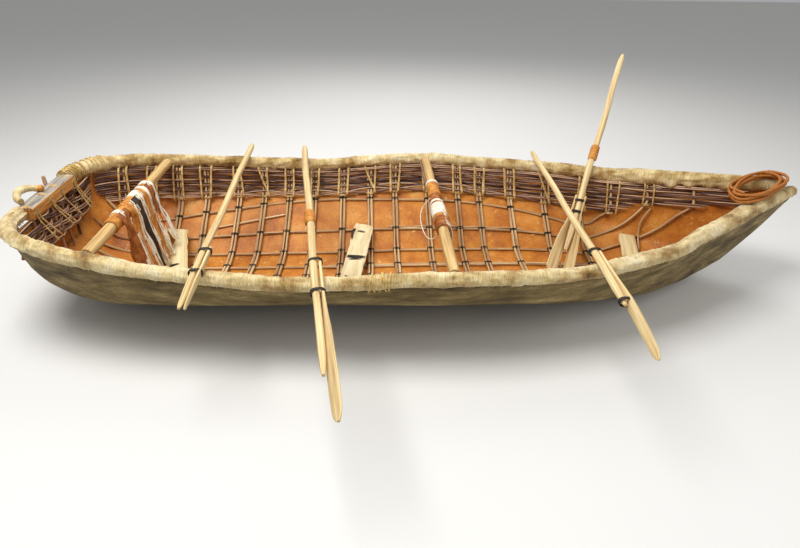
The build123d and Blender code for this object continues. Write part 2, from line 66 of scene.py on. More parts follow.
# Lines of the hull in millimetres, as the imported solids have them
SLOPE_ANGLE = radians(34)
SIDE_ANGLE = radians(70)
HIDE = 0.005
GAP = 0.0003
Station = namedtuple("Station", "x half_beam edge keel floor turn bilge roll")
STATIONS = [
    Station(-1570, 305, 398, 190, 80, 70, 60, 28),
    Station(-1525, 372, 396, 138, 110, 90, 75, 30),
    Station(-1440, 430, 390, 70, 120, 130, 100, 30),
    Station(-1240, 500, 372, 10, 120, 200, 120, 30),
    Station(-940, 555, 345, 0, 120, 240, 140, 28),
    Station(-470, 592, 318, 0, 120, 260, 140, 28),
    Station(0, 608, 342, 0, 130, 280, 140, 28),
    Station(450, 566, 326, 0, 130, 280, 140, 28),
    Station(860, 436, 328, 0, 100, 220, 120, 30),
    Station(1110, 300, 352, 12, 50, 120, 100, 33),
    Station(1360, 160, 386, 85, 8, 26, 30, 34),
    Station(1500, 84, 404, 225, 3, 13, 13, 32),
    Station(1605, 32, 424, 380, 3, 8, 8, 26),
]
MM = 0.001
STERN = STATIONS[0].x * MM
BOW = STATIONS[-1].x * MM

# Willow frame: radii of its rods, and how far the middle of each layer lies inside the outer hull
STRINGER_R = 0.0065
RIB_R = 0.006
WEAVER_R = 0.0041
STRINGER_IN = HIDE + GAP + STRINGER_R
RIB_IN = STRINGER_IN + STRINGER_R + GAP + RIB_R
RIB_PAIR = 0.008
RIBS = [-1.190, -1.062, -0.905, -0.780, -0.652, -0.525, -0.380, -0.240, -0.110,
        0.060, 0.218, 0.330, 0.492, 0.664, 0.836]
STERN_POSTS = [-1.425, -1.310]
BOW_POSTS = [0.968, 1.112, 1.288, 1.444]
UPRIGHTS = STERN_POSTS + RIBS + BOW_POSTS

# Rows of the woven band: where each starts and ends, how far apart they and the two rods of a row lie
BAND_ROWS = [(-1.500, 1.480)] * 4 + [(-1.500, 1.345), (-1.490, 1.080), (-1.470, 1.050), (-1.465, 1.010)]
ROW_STEP = 0.020
ROW_PAIR = 0.0078
BAND_TOP = 0.007

# Mesh of the hide and of the rim's roll, and the tufts of hair on each side
HULL_ROWS, HULL_COLUMNS = 200, 84
ROLL_ROWS, ROLL_SIDES = 230, 36
TUFTS = 1300

ROPE_R = 0.006
RIBBON_R = 0.0022
STRIP_THICK = 0.0022


def linear(colour):
    """A colour written as six hex digits of sRGB, as the linear numbers that a shader takes."""
    parts = [int(colour[i:i + 2], 16) / 255 for i in (0, 2, 4)]
    return tuple(c / 12.92 if c <= 0.04045 else ((c + 0.055) / 1.055) ** 2.4 for c in parts) + (1.0,)


def add(tree, kind, inputs=None, stops=(), **settings):
    """Adds a node with its settings, its inputs filled or linked, and a ramp's stops where it has them."""
    made = tree.nodes.new(kind)
    for name, value in settings.items():
        setattr(made, name, value)
    for name, value in (inputs or {}).items():
        if isinstance(value, bpy.types.NodeSocket):
            tree.links.new(value, made.inputs[name])
        else:
            made.inputs[name].default_value = value
    for number, (place, colour) in enumerate(stops):
        ramp = made.color_ramp.elements
        stop = ramp[number] if number < 2 else ramp.new(place)
        stop.position = place
        stop.color = linear(colour)
    return made


def new_material(name, roughness, specular=0.3):
    """An empty material with its shader: the material, its nodes and the shader."""
    material = bpy.data.materials.new(name)
    material.use_nodes = True
    tree = material.node_tree
    tree.nodes.clear()
    shader = add(tree, "ShaderNodeBsdfPrincipled", {"Roughness": roughness, "Specular IOR Level": specular})
    out = add(tree, "ShaderNodeOutputMaterial")
    tree.links.new(shader.outputs[0], out.inputs[0])
    return material, tree, shader


def hide_outside():
    """Dried cowhide: matt, olive brown, with smoky stains 200 mm long and 50 mm high and creases 15 mm
    apart."""
    material, tree, shader = new_material("dried_hide_outside", 0.72)
    place = add(tree, "ShaderNodeTexCoord").outputs["Object"]
    long_way = add(tree, "ShaderNodeMapping", {"Vector": place, "Scale": (1.0, 2.4, 4.2)}).outputs[0]
    stain = add(tree, "ShaderNodeTexNoise",
                {"Vector": long_way, "Scale": 5.0, "Detail": 9.0, "Roughness": 0.62})
    tone = add(tree, "ShaderNodeValToRGB", {"Fac": stain.outputs[0]},
               stops=((0.28, "3C2F18"), (0.74, "BFA877"), (0.44, "6A5833"), (0.58, "8F7A4C")))
    grain = add(tree, "ShaderNodeTexNoise",
                {"Vector": long_way, "Scale": 42.0, "Detail": 7.0, "Roughness": 0.65})
    grey = add(tree, "ShaderNodeMapRange", {"Value": grain.outputs[0], "From Min": 0.35, "From Max": 0.7,
                                            "To Min": 0.62, "To Max": 1.15}).outputs[0]
    shade = add(tree, "ShaderNodeMix", {0: 1.0, 6: tone.outputs[0], 7: grey}, data_type="RGBA",
                blend_type="MULTIPLY")
    tree.links.new(shade.outputs[2], shader.inputs["Base Color"])
    crease = add(tree, "ShaderNodeTexNoise",
                 {"Vector": long_way, "Scale": 17.0, "Detail": 8.0, "Distortion": 0.8})
    bump = add(tree, "ShaderNodeBump", {"Height": crease.outputs[0], "Strength": 0.7, "Distance": 0.014})
    tree.links.new(bump.outputs[0], shader.inputs["Normal"])
    return material


def hide_inside():
    """Smoke-tanned inner face of the hide: orange brown in clouds of 150 mm, with pale thin spots 45 mm
    apart and pores 5 mm apart, which are coarser than real ones so that they show."""
    material, tree, shader = new_material("smoked_hide_inside", 0.55, 0.35)
    place = add(tree, "ShaderNodeTexCoord").outputs["Object"]
    cloud = add(tree, "ShaderNodeTexNoise", {"Vector": place, "Scale": 6.5, "Detail": 8.0, "Roughness": 0.66})
    tone = add(tree, "ShaderNodeValToRGB", {"Fac": cloud.outputs[0]},
               stops=((0.28, "8E4A10"), (0.74, "D79E52"), (0.45, "B86C1A"), (0.58, "C8812C")))
    spot = add(tree, "ShaderNodeTexNoise", {"Vector": place, "Scale": 22.0, "Detail": 4.0, "Roughness": 0.7})
    thin = add(tree, "ShaderNodeMapRange",
               {"Value": spot.outputs[0], "From Min": 0.62, "From Max": 0.74}).outputs[0]
    pale = add(tree, "ShaderNodeMix", {0: thin, 6: tone.outputs[0], 7: linear("E8C07C")}, data_type="RGBA")
    pores = add(tree, "ShaderNodeTexNoise", {"Vector": place, "Scale": 190.0, "Detail": 3.0})
    dark = add(tree, "ShaderNodeMapRange", {"Value": pores.outputs[0], "From Min": 0.32, "From Max": 0.5,
                                            "To Min": 0.62, "To Max": 1.0}).outputs[0]
    shade = add(tree, "ShaderNodeMix", {0: 1.0, 6: pale.outputs[2], 7: dark}, data_type="RGBA",
                blend_type="MULTIPLY")
    tree.links.new(shade.outputs[2], shader.inputs["Base Color"])
    bump = add(tree, "ShaderNodeBump", {"Height": spot.outputs[0], "Strength": 0.35, "Distance": 0.006})
    tree.links.new(bump.outputs[0], shader.inputs["Normal"])
    return material


def rim_hair():
    """Rolled hide with the hair left on: cream, stained brown in patches of 90 mm. The hair lies round the
    roll in clumps 2.4 mm apart, because single hairs of 0.1 mm are too fine to show."""
    material, tree, shader = new_material("haired_hide", 0.85, 0.2)
    shader.inputs["Sheen Weight"].default_value = 0.25
    place = add(tree, "ShaderNodeTexCoord")
    stain = add(tree, "ShaderNodeTexNoise", {"Vector": place.outputs["Object"], "Scale": 11.0, "Detail": 7.0,
                                             "Roughness": 0.62})
    tone = add(tree, "ShaderNodeValToRGB", {"Fac": stain.outputs[0]},
               stops=((0.28, "5E421C"), (0.78, "F4E8C8"), (0.40, "A68246"), (0.55, "DCC48C")))
    lie = add(tree, "ShaderNodeMapping",
              {"Vector": place.outputs["UV"], "Scale": (26.0, 420.0, 1.0)}).outputs[0]
    hair = add(tree, "ShaderNodeTexNoise", {"Vector": lie, "Scale": 1.0, "Detail": 4.0, "Distortion": 1.2})
    part = add(tree, "ShaderNodeMapRange", {"Value": hair.outputs[0], "From Min": 0.3, "From Max": 0.62,
                                            "To Min": 0.55, "To Max": 1.08}).outputs[0]
    shade = add(tree, "ShaderNodeMix", {0: 1.0, 6: tone.outputs[0], 7: part}, data_type="RGBA",
                blend_type="MULTIPLY")
    tree.links.new(shade.outputs[2], shader.inputs["Base Color"])
    clump = add(tree, "ShaderNodeTexNoise", {"Vector": place.outputs["Object"], "Scale": 70.0, "Detail": 6.0})
    mixed = add(tree, "ShaderNodeMath", {0: hair.outputs[0], 1: clump.outputs[0]}, operation="ADD")
    bump = add(tree, "ShaderNodeBump", {"Height": mixed.outputs[0], "Strength": 0.6, "Distance": 0.005})
    tree.links.new(bump.outputs[0], shader.inputs["Normal"])
    return material


def barked(name, roughness, tones, streak, spread, depth=0.002):
    """Wood with streaks along it, streak[0] in a centimetre across the grain and streak[1] in 100 mm along
    it, each piece with a tone of its own within spread."""
    material, tree, shader = new_material(name, roughness)
    place = add(tree, "ShaderNodeTexCoord").outputs["UV"]
    piece = add(tree, "ShaderNodeNewGeometry").outputs["Random Per Island"]
    apart = add(tree, "ShaderNodeMath", {0: piece, 1: 37.0}, operation="MULTIPLY").outputs[0]
    lie = add(tree, "ShaderNodeMapping",
              {"Vector": place, "Scale": (streak[0] * 100, streak[1] * 10, 1.0)}).outputs[0]
    grain = add(tree, "ShaderNodeTexNoise", {"Vector": lie, "W": apart, "Scale": 1.0, "Detail": 6.0,
                                             "Roughness": 0.6}, noise_dimensions="4D")
    own = add(tree, "ShaderNodeMapRange",
              {"Value": piece, "To Min": -spread / 2, "To Max": spread / 2}).outputs[0]
    level = add(tree, "ShaderNodeMath", {0: grain.outputs[0], 1: own}, operation="ADD").outputs[0]
    tone = add(tree, "ShaderNodeValToRGB", {"Fac": level}, stops=tones)
    tree.links.new(tone.outputs[0], shader.inputs["Base Color"])
    bump = add(tree, "ShaderNodeBump", {"Height": grain.outputs[0], "Strength": 0.5, "Distance": depth})
    tree.links.new(bump.outputs[0], shader.inputs["Normal"])
    return material


def grey_topped_timber():
    """Hewn softwood: silver grey on the faces that point up, orange brown on the faces that stand or point
    down, grain 7 mm apart."""
    material, tree, shader = new_material("hewn_timber", 0.75)
    place = add(tree, "ShaderNodeTexCoord").outputs["Object"]
    lie = add(tree, "ShaderNodeMapping", {"Vector": place, "Scale": (150.0, 6.0, 150.0)}).outputs[0]
    grain = add(tree, "ShaderNodeTexNoise", {"Vector": lie, "Scale": 1.0, "Detail": 6.0, "Distortion": 0.6})
    grey = add(tree, "ShaderNodeValToRGB", {"Fac": grain.outputs[0]},
               stops=((0.30, "5F564B"), (0.72, "B7AC9B"), (0.5, "8F867A")))
    brown = add(tree, "ShaderNodeValToRGB", {"Fac": grain.outputs[0]},
                stops=((0.30, "8F5A22"), (0.72, "DBA463"), (0.5, "BE8240")))
    facing = add(tree, "ShaderNodeSeparateXYZ", {0: add(tree, "ShaderNodeNewGeometry").outputs["Normal"]})
    # Grey where the face points up, orange brown where it stands or points down
    top = add(tree, "ShaderNodeMapRange",
              {"Value": facing.outputs[2], "From Min": 0.45, "From Max": 0.8}).outputs[0]
    tone = add(tree, "ShaderNodeMix", {0: top, 6: brown.outputs[0], 7: grey.outputs[0]}, data_type="RGBA")
    tree.links.new(tone.outputs[2], shader.inputs["Base Color"])
    bump = add(tree, "ShaderNodeBump", {"Height": grain.outputs[0], "Strength": 0.5, "Distance": 0.002})
    tree.links.new(bump.outputs[0], shader.inputs["Normal"])
    return material


def dyed(name, roughness, tones, scale, depth=0.002):
    """Leather or hide of a few tones in cloudy patches, that many of them in a metre."""
    material, tree, shader = new_material(name, roughness)
    place = add(tree, "ShaderNodeTexCoord").outputs["Object"]
    cloud = add(tree, "ShaderNodeTexNoise",
                {"Vector": place, "Scale": scale, "Detail": 8.0, "Roughness": 0.65})
    tone = add(tree, "ShaderNodeValToRGB", {"Fac": cloud.outputs[0]}, stops=tones)
    tree.links.new(tone.outputs[0], shader.inputs["Base Color"])
    bump = add(tree, "ShaderNodeBump", {"Height": cloud.outputs[0], "Strength": 0.5, "Distance": depth})
    tree.links.new(bump.outputs[0], shader.inputs["Normal"])
    return material


# Willow with its bark on: dark brown and silky, with streaks 1.7 mm apart and 60 mm long
bark = barked("dark_willow_bark", 0.4,
              ((0.18, "1A0F0E"), (0.80, "D2AE8C"), (0.38, "4A2C24"), (0.58, "86604C")), (6.0, 1.6), 0.62)
# Half-peeled willow: tan and silky, with bark left in streaks 6 mm apart
peeled = barked("half_peeled_willow", 0.45,
                ((0.28, "3A2012"), (0.70, "E0C69C"), (0.40, "8E6844"), (0.54, "BE9A6C")), (1.6, 0.5), 0.12)
# Peeled pole: dull tan, cracked and streaked 10 mm apart
pole_wood = barked("peeled_pole", 0.55,
                   ((0.28, "6E5028"), (0.74, "E4C892"), (0.42, "B08A52"), (0.57, "CCAB70")), (1.0, 0.3),
                   0.08, 0.004)
# Peeled ash: pale, whittled and handled, with streaks 8 mm apart
paddle_wood = barked("pale_peeled_ash", 0.55,
                     ((0.26, "7E643E"), (0.74, "EEDDB4"), (0.40, "C0A16C"), (0.56, "DAC08C")), (1.2, 0.35),
                     0.08, 0.003)
# Split softwood: pale and dull, with grain 9 mm apart
board_wood = barked("split_softwood", 0.6,
                    ((0.26, "8E7044"), (0.74, "EBDAB0"), (0.42, "C4A872"), (0.56, "DAC494")), (1.1, 0.25),
                    0.08)
# Birch bark on a board: cream, browner in patches 17 mm wide
birch = barked("birch_bark_board", 0.5,
               ((0.26, "70593A"), (0.70, "E8DAB8"), (0.40, "C0A878"), (0.54, "D8C59A")), (0.6, 0.5), 0.05)
# Rawhide thong: tan and slightly horny, mottled every 17 mm
rawhide = dyed("rawhide_thong", 0.5, ((0.30, "80602C"), (0.70, "DCC08A"), (0.5, "B99456")), 60.0)
# Tarred thong: near black and dull
tarred = dyed("blackened_thong", 0.6, ((0.3, "0E0B08"), (0.7, "3A2E22")), 90.0)
# Tanned leather: ochre, handled smooth, mottled every 26 mm
ochre = dyed("tanned_leather", 0.6, ((0.28, "7E4A16"), (0.72, "DDA55A"), (0.46, "B57228"), (0.58, "C98A3C")),
             38.0)
# Hides with short hair: matt, mottled every 30 mm
brown_hide = dyed("brown_hide", 0.7, ((0.28, "522810"), (0.72, "C07C40"), (0.5, "92521F")), 30.0)
white_hide = dyed("white_hide", 0.8, ((0.28, "B8A888"), (0.66, "F4EEE0"), (0.46, "DDD2BA")), 34.0)
dark_hide = dyed("dark_hide", 0.7, ((0.3, "14100C"), (0.7, "4E3A2A")), 30.0)
# Bast rope: orange brown, with fibres 3.3 mm apart, drawn coarse so that they show
fibre = barked("laid_fibre", 0.6, ((0.25, "5E340E"), (0.75, "CF8E4C"), (0.5, "A4601E")), (3.0, 2.0), 0.2)
# Loose bast: straw-coloured and matt
fray = dyed("winding_fibre", 0.8, ((0.3, "8A6A2E"), (0.7, "E8CC8C"), (0.5, "C4A35A")), 80.0)
outside = hide_outside()
inside = hide_inside()
hair = rim_hair()


def fair_table():
    """Columns of the stations with the slope of a smooth curve through each that never overshoots."""
    rows = np.array(STATIONS, float) * MM
    xs = rows[:, 0]
    steps = np.diff(rows, axis=0) / np.diff(xs)[:, None]
    slopes = np.zeros_like(rows)
    slopes[0], slopes[-1] = steps[0], steps[-1]
    for i in range(1, len(xs) - 1):
        before, after = steps[i - 1], steps[i]
        same_way = before * after > 0
        mean = 2 * before * after / np.where(same_way, before + after, 1)
        slopes[i] = np.where(same_way, mean, 0)
    return rows, slopes


ROWS, SLOPES = fair_table()


def station_at(x):
    """The hull's measures at x, on smooth curves through the stations."""
    x = min(max(x, STERN), BOW)
    i = min(int(np.searchsorted(ROWS[:, 0], x, side="right")) - 1, len(ROWS) - 2)
    width = ROWS[i + 1, 0] - ROWS[i, 0]
    t = (x - ROWS[i, 0]) / width
    start, end = (1 + 2 * t) * (1 - t) ** 2, t * t * (3 - 2 * t)
    leave, arrive = t * (1 - t) ** 2 * width, t * t * (t - 1) * width
    row = start * ROWS[i] + end * ROWS[i + 1] + leave * SLOPES[i] + arrive * SLOPES[i + 1]
    return Station(x, *[float(v) for v in row[1:]])


def stretches(s):
    """Lengths of the section's stretches from the keel out: floor, turn, slope, bilge and side."""
    a, b = SLOPE_ANGLE, SIDE_ANGLE
    out = s.half_beam - s.floor - s.turn * sin(a) - s.bilge * (sin(b) - sin(a))
    rise = s.edge - s.keel - s.turn * (1 - cos(a)) - s.bilge * (cos(a) - cos(b))
    side = (rise * cos(a) - out * sin(a)) / sin(b - a)
    return s.floor, s.turn * a, (out - side * cos(b)) / cos(a), s.bilge * (b - a), side


def section_point(s, reach, inset=0.0):
    """Distance out and height of the point that lies reach along a station's section from the keel, and the
    angle of the hull there. The point is moved in by inset."""
    a, b = SLOPE_ANGLE, SIDE_ANGLE
    floor_run, turn_run, slope_run, bilge_run, side_run = stretches(s)
    if reach <= floor_run:
        return reach, s.keel + inset, 0.0
    reach -= floor_run
    if reach <= turn_run:
        angle = reach / s.turn
        return s.floor + (s.turn - inset) * sin(angle), s.keel + s.turn - (s.turn - inset) * cos(angle), angle
    reach -= turn_run
    run = min(reach, slope_run)
    out = s.floor + s.turn * sin(a) + run * cos(a)
    up = s.keel + s.turn * (1 - cos(a)) + run * sin(a)
    if reach <= slope_run:
        return out - inset * sin(a), up + inset * cos(a), a
    reach -= slope_run
    middle_out, middle_up = out - s.bilge * sin(a), up + s.bilge * cos(a)
    angle = a + min(reach, bilge_run) / s.bilge
    out = middle_out + (s.bilge - inset) * sin(angle)
    up = middle_up - (s.bilge - inset) * cos(angle)
    run = max(0.0, reach - bilge_run)
    return out + run * cos(b), up + run * sin(b), angle


def on_hull(x, side, reach, inset):
    """Point inside the hull at x, reach along the section from the keel on that side."""
    out, up, _ = section_point(station_at(x), reach, inset)
    return Vector((x, side * out, up))


def in_band(x, side, drop, inset):
    """Point inside the hull at x, drop below the hide's edge."""
    s = station_at(x)
    out, up, _ = section_point(s, sum(stretches(s)) - drop, inset)
    return Vector((x, side * out, up))


def roll_centre(x):
    """Distance out and height of the middle of the rim's roll."""
    s = station_at(x)
    return s.half_beam - HIDE / 2, s.edge + s.roll + GAP + HIDE * cos(SIDE_ANGLE)


def wrapped(bm, rows, columns, place, size=(1.0, 1.0)):
    """Adds a grid of columns by rows faces to the mesh, each vertex put where place(u, v) says, with u and
    v from 0 to 1, and its UVs in the sizes given in metres."""
    bm.loops.layers.uv.verify()
    made = bmesh.ops.create_grid(bm, x_segments=columns, y_segments=rows, size=0.5, calc_uvs=True)["verts"]
    uv = bm.loops.layers.uv.active
    for face in {f for v in made for f in v.link_faces}:
        for loop in face.loops:
            loop[uv].uv = (loop[uv].uv.x * size[0], loop[uv].uv.y * size[1])
    for v in made:
        v.co = place(v.co.x + 0.5, v.co.y + 0.5)
    return made


def fair_line(points, steps):
    """Points of a smooth line through the given ones, with that many steps on each span."""
    points = [Vector(p) for p in points]
    ends = [2 * points[0] - points[1]] + points + [2 * points[-1] - points[-2]]
    line = []
    for a, b, c, d in zip(ends, ends[1:], ends[2:], ends[3:]):
        for k in range(steps):
            t = k / steps
            line.append(0.5 * (2 * b + (c - a) * t + (2 * a - 5 * b + 4 * c - d) * t * t
                               + (3 * b - a - 3 * c + d) * t ** 3))
    line.append(points[-1])
    return line


def rod(bm, points, radius, sides=8, steps=4, squash=1.0, facing=UP, blunt=0.55, knots=0.0, taper=0.0):
    """Adds a rod along a smooth line through points, squashed across the way it faces, blunt at its two
    ends."""
    line = fair_line(points, steps)
    last = len(line) - 1
    rings = []
    phase = dice.random() * 40
    length = sum((b - a).length for a, b in zip(line, line[1:]))
    for number, point in enumerate(line):
        run = (line[min(number + 1, last)] - line[max(number - 1, 0)]).normalized()
        out = run.cross(facing).normalized()
        share = number / last
        swell = 1 + knots * noise.noise(Vector((share * length * 14, phase, 0))) - taper * share
        end = blunt if number in (0, last) else 1
        rings.append((point, out * radius * swell * end, out.cross(run) * radius * swell * squash * end))

    def place(u, v):
        point, out, across = rings[round(v * last)]
        return point + out * cos(2 * pi * u) + across * sin(2 * pi * u)

    return wrapped(bm, last, sides, place, (2 * pi * radius, length))


def points_of(node):
    """Places of a CAD node's vertices, one to a row."""
    return np.array([v.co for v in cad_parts[node].data.vertices])


def cord(name, points, radius, spans, rounds, material):
    """Round cord on its own spline through the given points, riding with the hull."""
    curve = bpy.data.curves.new(name, "CURVE")
    curve.dimensions = "3D"
    spline = curve.splines.new("NURBS")
    spline.points.add(len(points) - 1)
    for point, place in zip(spline.points, points):
        point.co = (*place, 1)
    spline.order_u = 3
    spline.use_endpoint_u = True
    spline.resolution_u = spans
    curve.bevel_depth = radius
    curve.bevel_resolution = rounds
    curve.use_fill_caps = True
    curve.materials.append(material)
    piece = bpy.data.objects.new(name, curve)
    bpy.context.scene.collection.objects.link(piece)
    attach(piece, "hull")
    return piece


def finish_piece(bm, name, body, materials, replaces=(), weld=True, cap=True):
    """Turns a mesh into a named piece of the object that rides on a body."""
    if weld:
        bmesh.ops.remove_doubles(bm, verts=bm.verts, dist=1e-6)
    if cap:
        bmesh.ops.holes_fill(bm, edges=[e for e in bm.edges if e.is_boundary], sides=0)
        bmesh.ops.recalc_face_normals(bm, faces=bm.faces)
    mesh = bpy.data.meshes.new(name)
    bm.to_mesh(mesh)
    bm.free()
    mesh.shade_smooth()
    mesh.set_sharp_from_angle(angle=radians(50))
    for material in materials:
        mesh.materials.append(material)
    piece = bpy.data.objects.new(name, mesh)
    bpy.context.scene.collection.objects.link(piece)
    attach(piece, body)
    if replaces:
        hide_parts(*replaces)
    return piece


def applied(piece):
    """Puts the result of a piece's modifiers in its mesh."""
    bpy.context.view_layer.update()
    ready = piece.evaluated_get(bpy.context.evaluated_depsgraph_get())
    mesh = bpy.data.meshes.new_from_object(ready)
    piece.modifiers.clear()
    piece.data = mesh
    return piece


def make_hull():
    """Hide of the hull, drawn in a little between the stringers, thickened inwards; its stern is a bulged
    panel."""
    bm = bmesh.new()

    def place(u, v):
        x = STERN + (BOW - STERN) * v
        s = station_at(x)
        total = sum(stretches(s))
        side = 1 if u >= 0.5 else -1
        reach = abs(2 * u - 1) * total
        out, up, angle = section_point(s, reach)
        sag = 0.0022 * (noise.noise(Vector((x * 5, side * out * 7, up * 9)))
                        + 0.7 * noise.noise(Vector((x * 19, side * out * 17, up * 30))))
        pull = 0.0024 * (0.5 - 0.5 * cos(reach * 2 * pi / 0.11)) * (1 if reach < total - 0.05 else 0)
        inward = max(0.0, sag + pull)
        edge_lift = 0.004 * max(0, 1 - (total - reach) / 0.03)
        return Vector((x, side * (out - inward * sin(angle)), max(0.0, up + inward * cos(angle) + edge_lift)))

    wrapped(bm, HULL_ROWS, HULL_COLUMNS, place, (1.4, BOW - STERN))
    hull = finish_piece(bm, "hide_hull", "hull", (outside, inside), replaces=("hide_shell",),
                        cap=False)
    thicken(hull)
    for name, x, way, bulge in (("hide_stern", STERN, -1, 0.012), ("hide_stem", BOW, 1, 0.004)):
        s = station_at(x)
        total = sum(stretches(s))
        bm = bmesh.new()

        def panel(u, v):
            out, up, _ = section_point(s, v * total)
            swell = bulge * sin(pi * min(1, v * 1.05)) * (1 - (2 * u - 1) ** 2)
            crease = 0.003 * noise.noise(Vector((u * 6, v * 9, x)))
            return Vector((x + way * (swell + crease * (1 - abs(2 * u - 1))), (2 * u - 1) * out, up))

        wrapped(bm, 24, 24, panel, (0.6, 0.4))
        if way < 0:
            bmesh.ops.reverse_faces(bm, faces=bm.faces)
        thicken(finish_piece(bm, name, "hull", (outside, inside), cap=False))


def thicken(piece):
    """Gives a skin of hide its thickness inwards, the inner face with its own material, the cut edge as
    outside."""
    wall = piece.modifiers.new("thickness", "SOLIDIFY")
    wall.thickness = HIDE
    wall.offset = -1
    wall.material_offset = 1
    wall.material_offset_rim = 0
    applied(piece)


def rim_path(side):
    """Middles and radii of the rim's roll from the bow round the stern's corner to the timber."""
    path = []
    for k in range(ROLL_ROWS + 1):
        x = BOW - (BOW - STERN) * k / ROLL_ROWS
        out, up = roll_centre(x)
        path.append((Vector((x, side * out, up)), station_at(x).roll))
    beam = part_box("transom_beam")[1].y
    corner, radius = path[-1]
    for k in range(1, 11):
        share = k / 10
        y = corner.y + (side * (beam + 0.004) - corner.y) * share
        path.append((Vector((STERN - 0.016 * sin(pi / 2 * min(1, share * 2)), y, corner.z)), radius))
    return path


def rim_reach(side, centre, angle, radius):
    """Radius of the roll at an angle from its outer side up: lumps, creases, a ragged lip under its inner
    side."""
    across, rise = cos(angle), sin(angle)
    lump = 0.16 * noise.noise(Vector((centre.x * 7, centre.y * 7, across)))
    lump += 0.15 * noise.noise(Vector((centre.x * 23, across * 1.8, rise * 1.8 + side)))
    wrinkle = 0.12 * noise.noise(Vector((centre.x * 52, across * 3.2, rise * 3.2)))
    crease = -0.10 * max(0.0, noise.noise(Vector((centre.x * 11, angle * 1.3, side * 5))) - 0.25)
    r = radius * (0.965 + lump + wrinkle + crease) * (1 - 0.12 * max(0.0, -rise) ** 2)
    under = max(0.0, -across * 0.55 - rise * 0.83) ** 5
    ragged = 0.5 + 0.9 * noise.noise(Vector((centre.x * 31, side * 3, 0))) + 0.4 * noise.noise(
        Vector((centre.x * 90, side, 4)))
    hang = 0.009 + (0.016 * min(1.0, max(0.0, (centre.x - 0.85) / 0.12)) if side > 0 else 0.0)
    if centre.x > 1.45 or centre.x < STERN + 0.02:
        hang *= 0.3
    r += under * hang * max(0.0, ragged)
    if side < 0 and centre.x < -1.40:
        r += 0.0045 if rise > 0 and across > -0.25 else -0.001
    if side > 0 and centre.x < -1.49:
        r += 0.006
    return r


def make_rims():
    """Rolls of haired hide on the rims, lumpy and creased, with a ragged inner edge and tufts of hair on
    them."""
    for side, name in ((1, "port"), (-1, "starboard")):
        path = rim_path(side)
        last = len(path) - 1
        bm = bmesh.new()

        def spot(number, angle, lift=0.0):
            centre, radius = path[number]
            run = (path[min(number + 1, last)][0] - path[max(number - 1, 0)][0]).normalized()
            out = run.cross(UP).normalized() * side
            up = UP - run * run.z
            r = rim_reach(side, centre, angle, radius) + lift
            r *= 0.5 if number == 0 else 1
            return centre + out * cos(angle) * r + up * sin(angle) * r, out * cos(angle) + up * sin(angle), run

        def place(u, v):
            return spot(round(v * last), 2 * pi * u)[0]

        length = sum((b[0] - a[0]).length for a, b in zip(path, path[1:]))
        wrapped(bm, last, ROLL_SIDES, place, (0.18, length))
        finish_piece(bm, f"rim_roll_{name}", "hull", (hair,), replaces=(f"gunwale_{name}",))
        bm = bmesh.new()
        bm.loops.layers.uv.verify()
        for _ in range(TUFTS):
            number = dice.randint(3, last - 2)
            angle = dice.uniform(-2.9, -1.9) if dice.random() < 0.45 else dice.uniform(0, 2 * pi)
            point, away, run = spot(number, angle, -0.002)
            lie = (away + run * dice.uniform(-0.9, 0.9) - UP * dice.uniform(0.2, 1.1)).normalized()
            long = dice.uniform(0.007, 0.016)
            turn = lie.to_track_quat("Z", "Y").to_matrix().to_4x4()
            bmesh.ops.create_cone(bm, cap_ends=True, segments=3, radius1=dice.uniform(0.0010, 0.0021),
                                  radius2=0,
                                  depth=long, matrix=Matrix.Translation(point + lie * long * 0.4) @ turn,
                                  calc_uvs=True)
        finish_piece(bm, f"rim_tufts_{name}", "hull", (hair,), weld=False, cap=False)


def make_rim_turns():
    """Fibre wound round the rim's port corner at the stern, and loops of the same fibre round the starboard
    rim.
    """
    bm = bmesh.new()
    path = rim_path(1)
    for k in range(17):
        number = round(len(path) - 16 + k * 0.85)
        centre, radius = path[number]
        run = (path[number + 1][0] - path[number - 1][0]).normalized()
        out = run.cross(UP).normalized()
        lean = run * dice.uniform(-0.012, 0.012)
        loop_round(bm, centre, out, (UP + lean * 30).normalized(), radius * 1.09 + 0.004,
                   radius * 1.09 + 0.005,
                   dice.uniform(0.0016, 0.0028), turns=1.08, along=lean)
    finish_piece(bm, "corner_winding", "hull", (fray,), cap=False)
    bm = bmesh.new()
    path = rim_path(-1)
    for x, lean in ((-0.242, 0.03), (-0.228, -0.02), (-0.206, 0.03), (-0.190, -0.035), (-0.176, 0.02)):
        number = min(range(len(path)), key=lambda k: abs(path[k][0].x - x))
        centre, radius = path[number]
        run = (path[number + 1][0] - path[number - 1][0]).normalized()
        out = run.cross(UP).normalized()
        loop_round(bm, Vector((x, centre.y, centre.z)), out, UP, radius * 1.05, radius * 1.01, 0.0026,
                   turns=1.05,
                   along=run * lean)
    finish_piece(bm, "rim_thongs", "hull", (fray,), cap=False)


def rib_line(x):
    """Points of a rib at x from the port band to the starboard one; the aft ribs trail aft a little to
    starboard."""
    s = station_at(x)
    total = sum(stretches(s))
    drops = (0.008, 0.03, 0.07, 0.12)
    reaches = [total - d for d in drops] + [(total - drops[-1]) * share
                                            for share in (0.86, 0.7, 0.54, 0.38, 0.22, 0.08)]
    points = [on_hull(x, 1, reach, RIB_IN) for reach in reaches]
    points += [on_hull(x, -1, reach, RIB_IN) for reach in reversed(reaches)]
    for point in points:
        point.x -= trail(x, point.y)
    return points


def trail(x, y):
    """How far aft of its own place a rib lies at y."""
    share = min(1.0, max(0.0, (0.45 - y) / 0.95))
    return 0.026 * max(0.0, 1 - abs(x + 0.75) / 0.5) * sin(pi * share ** 1.3)


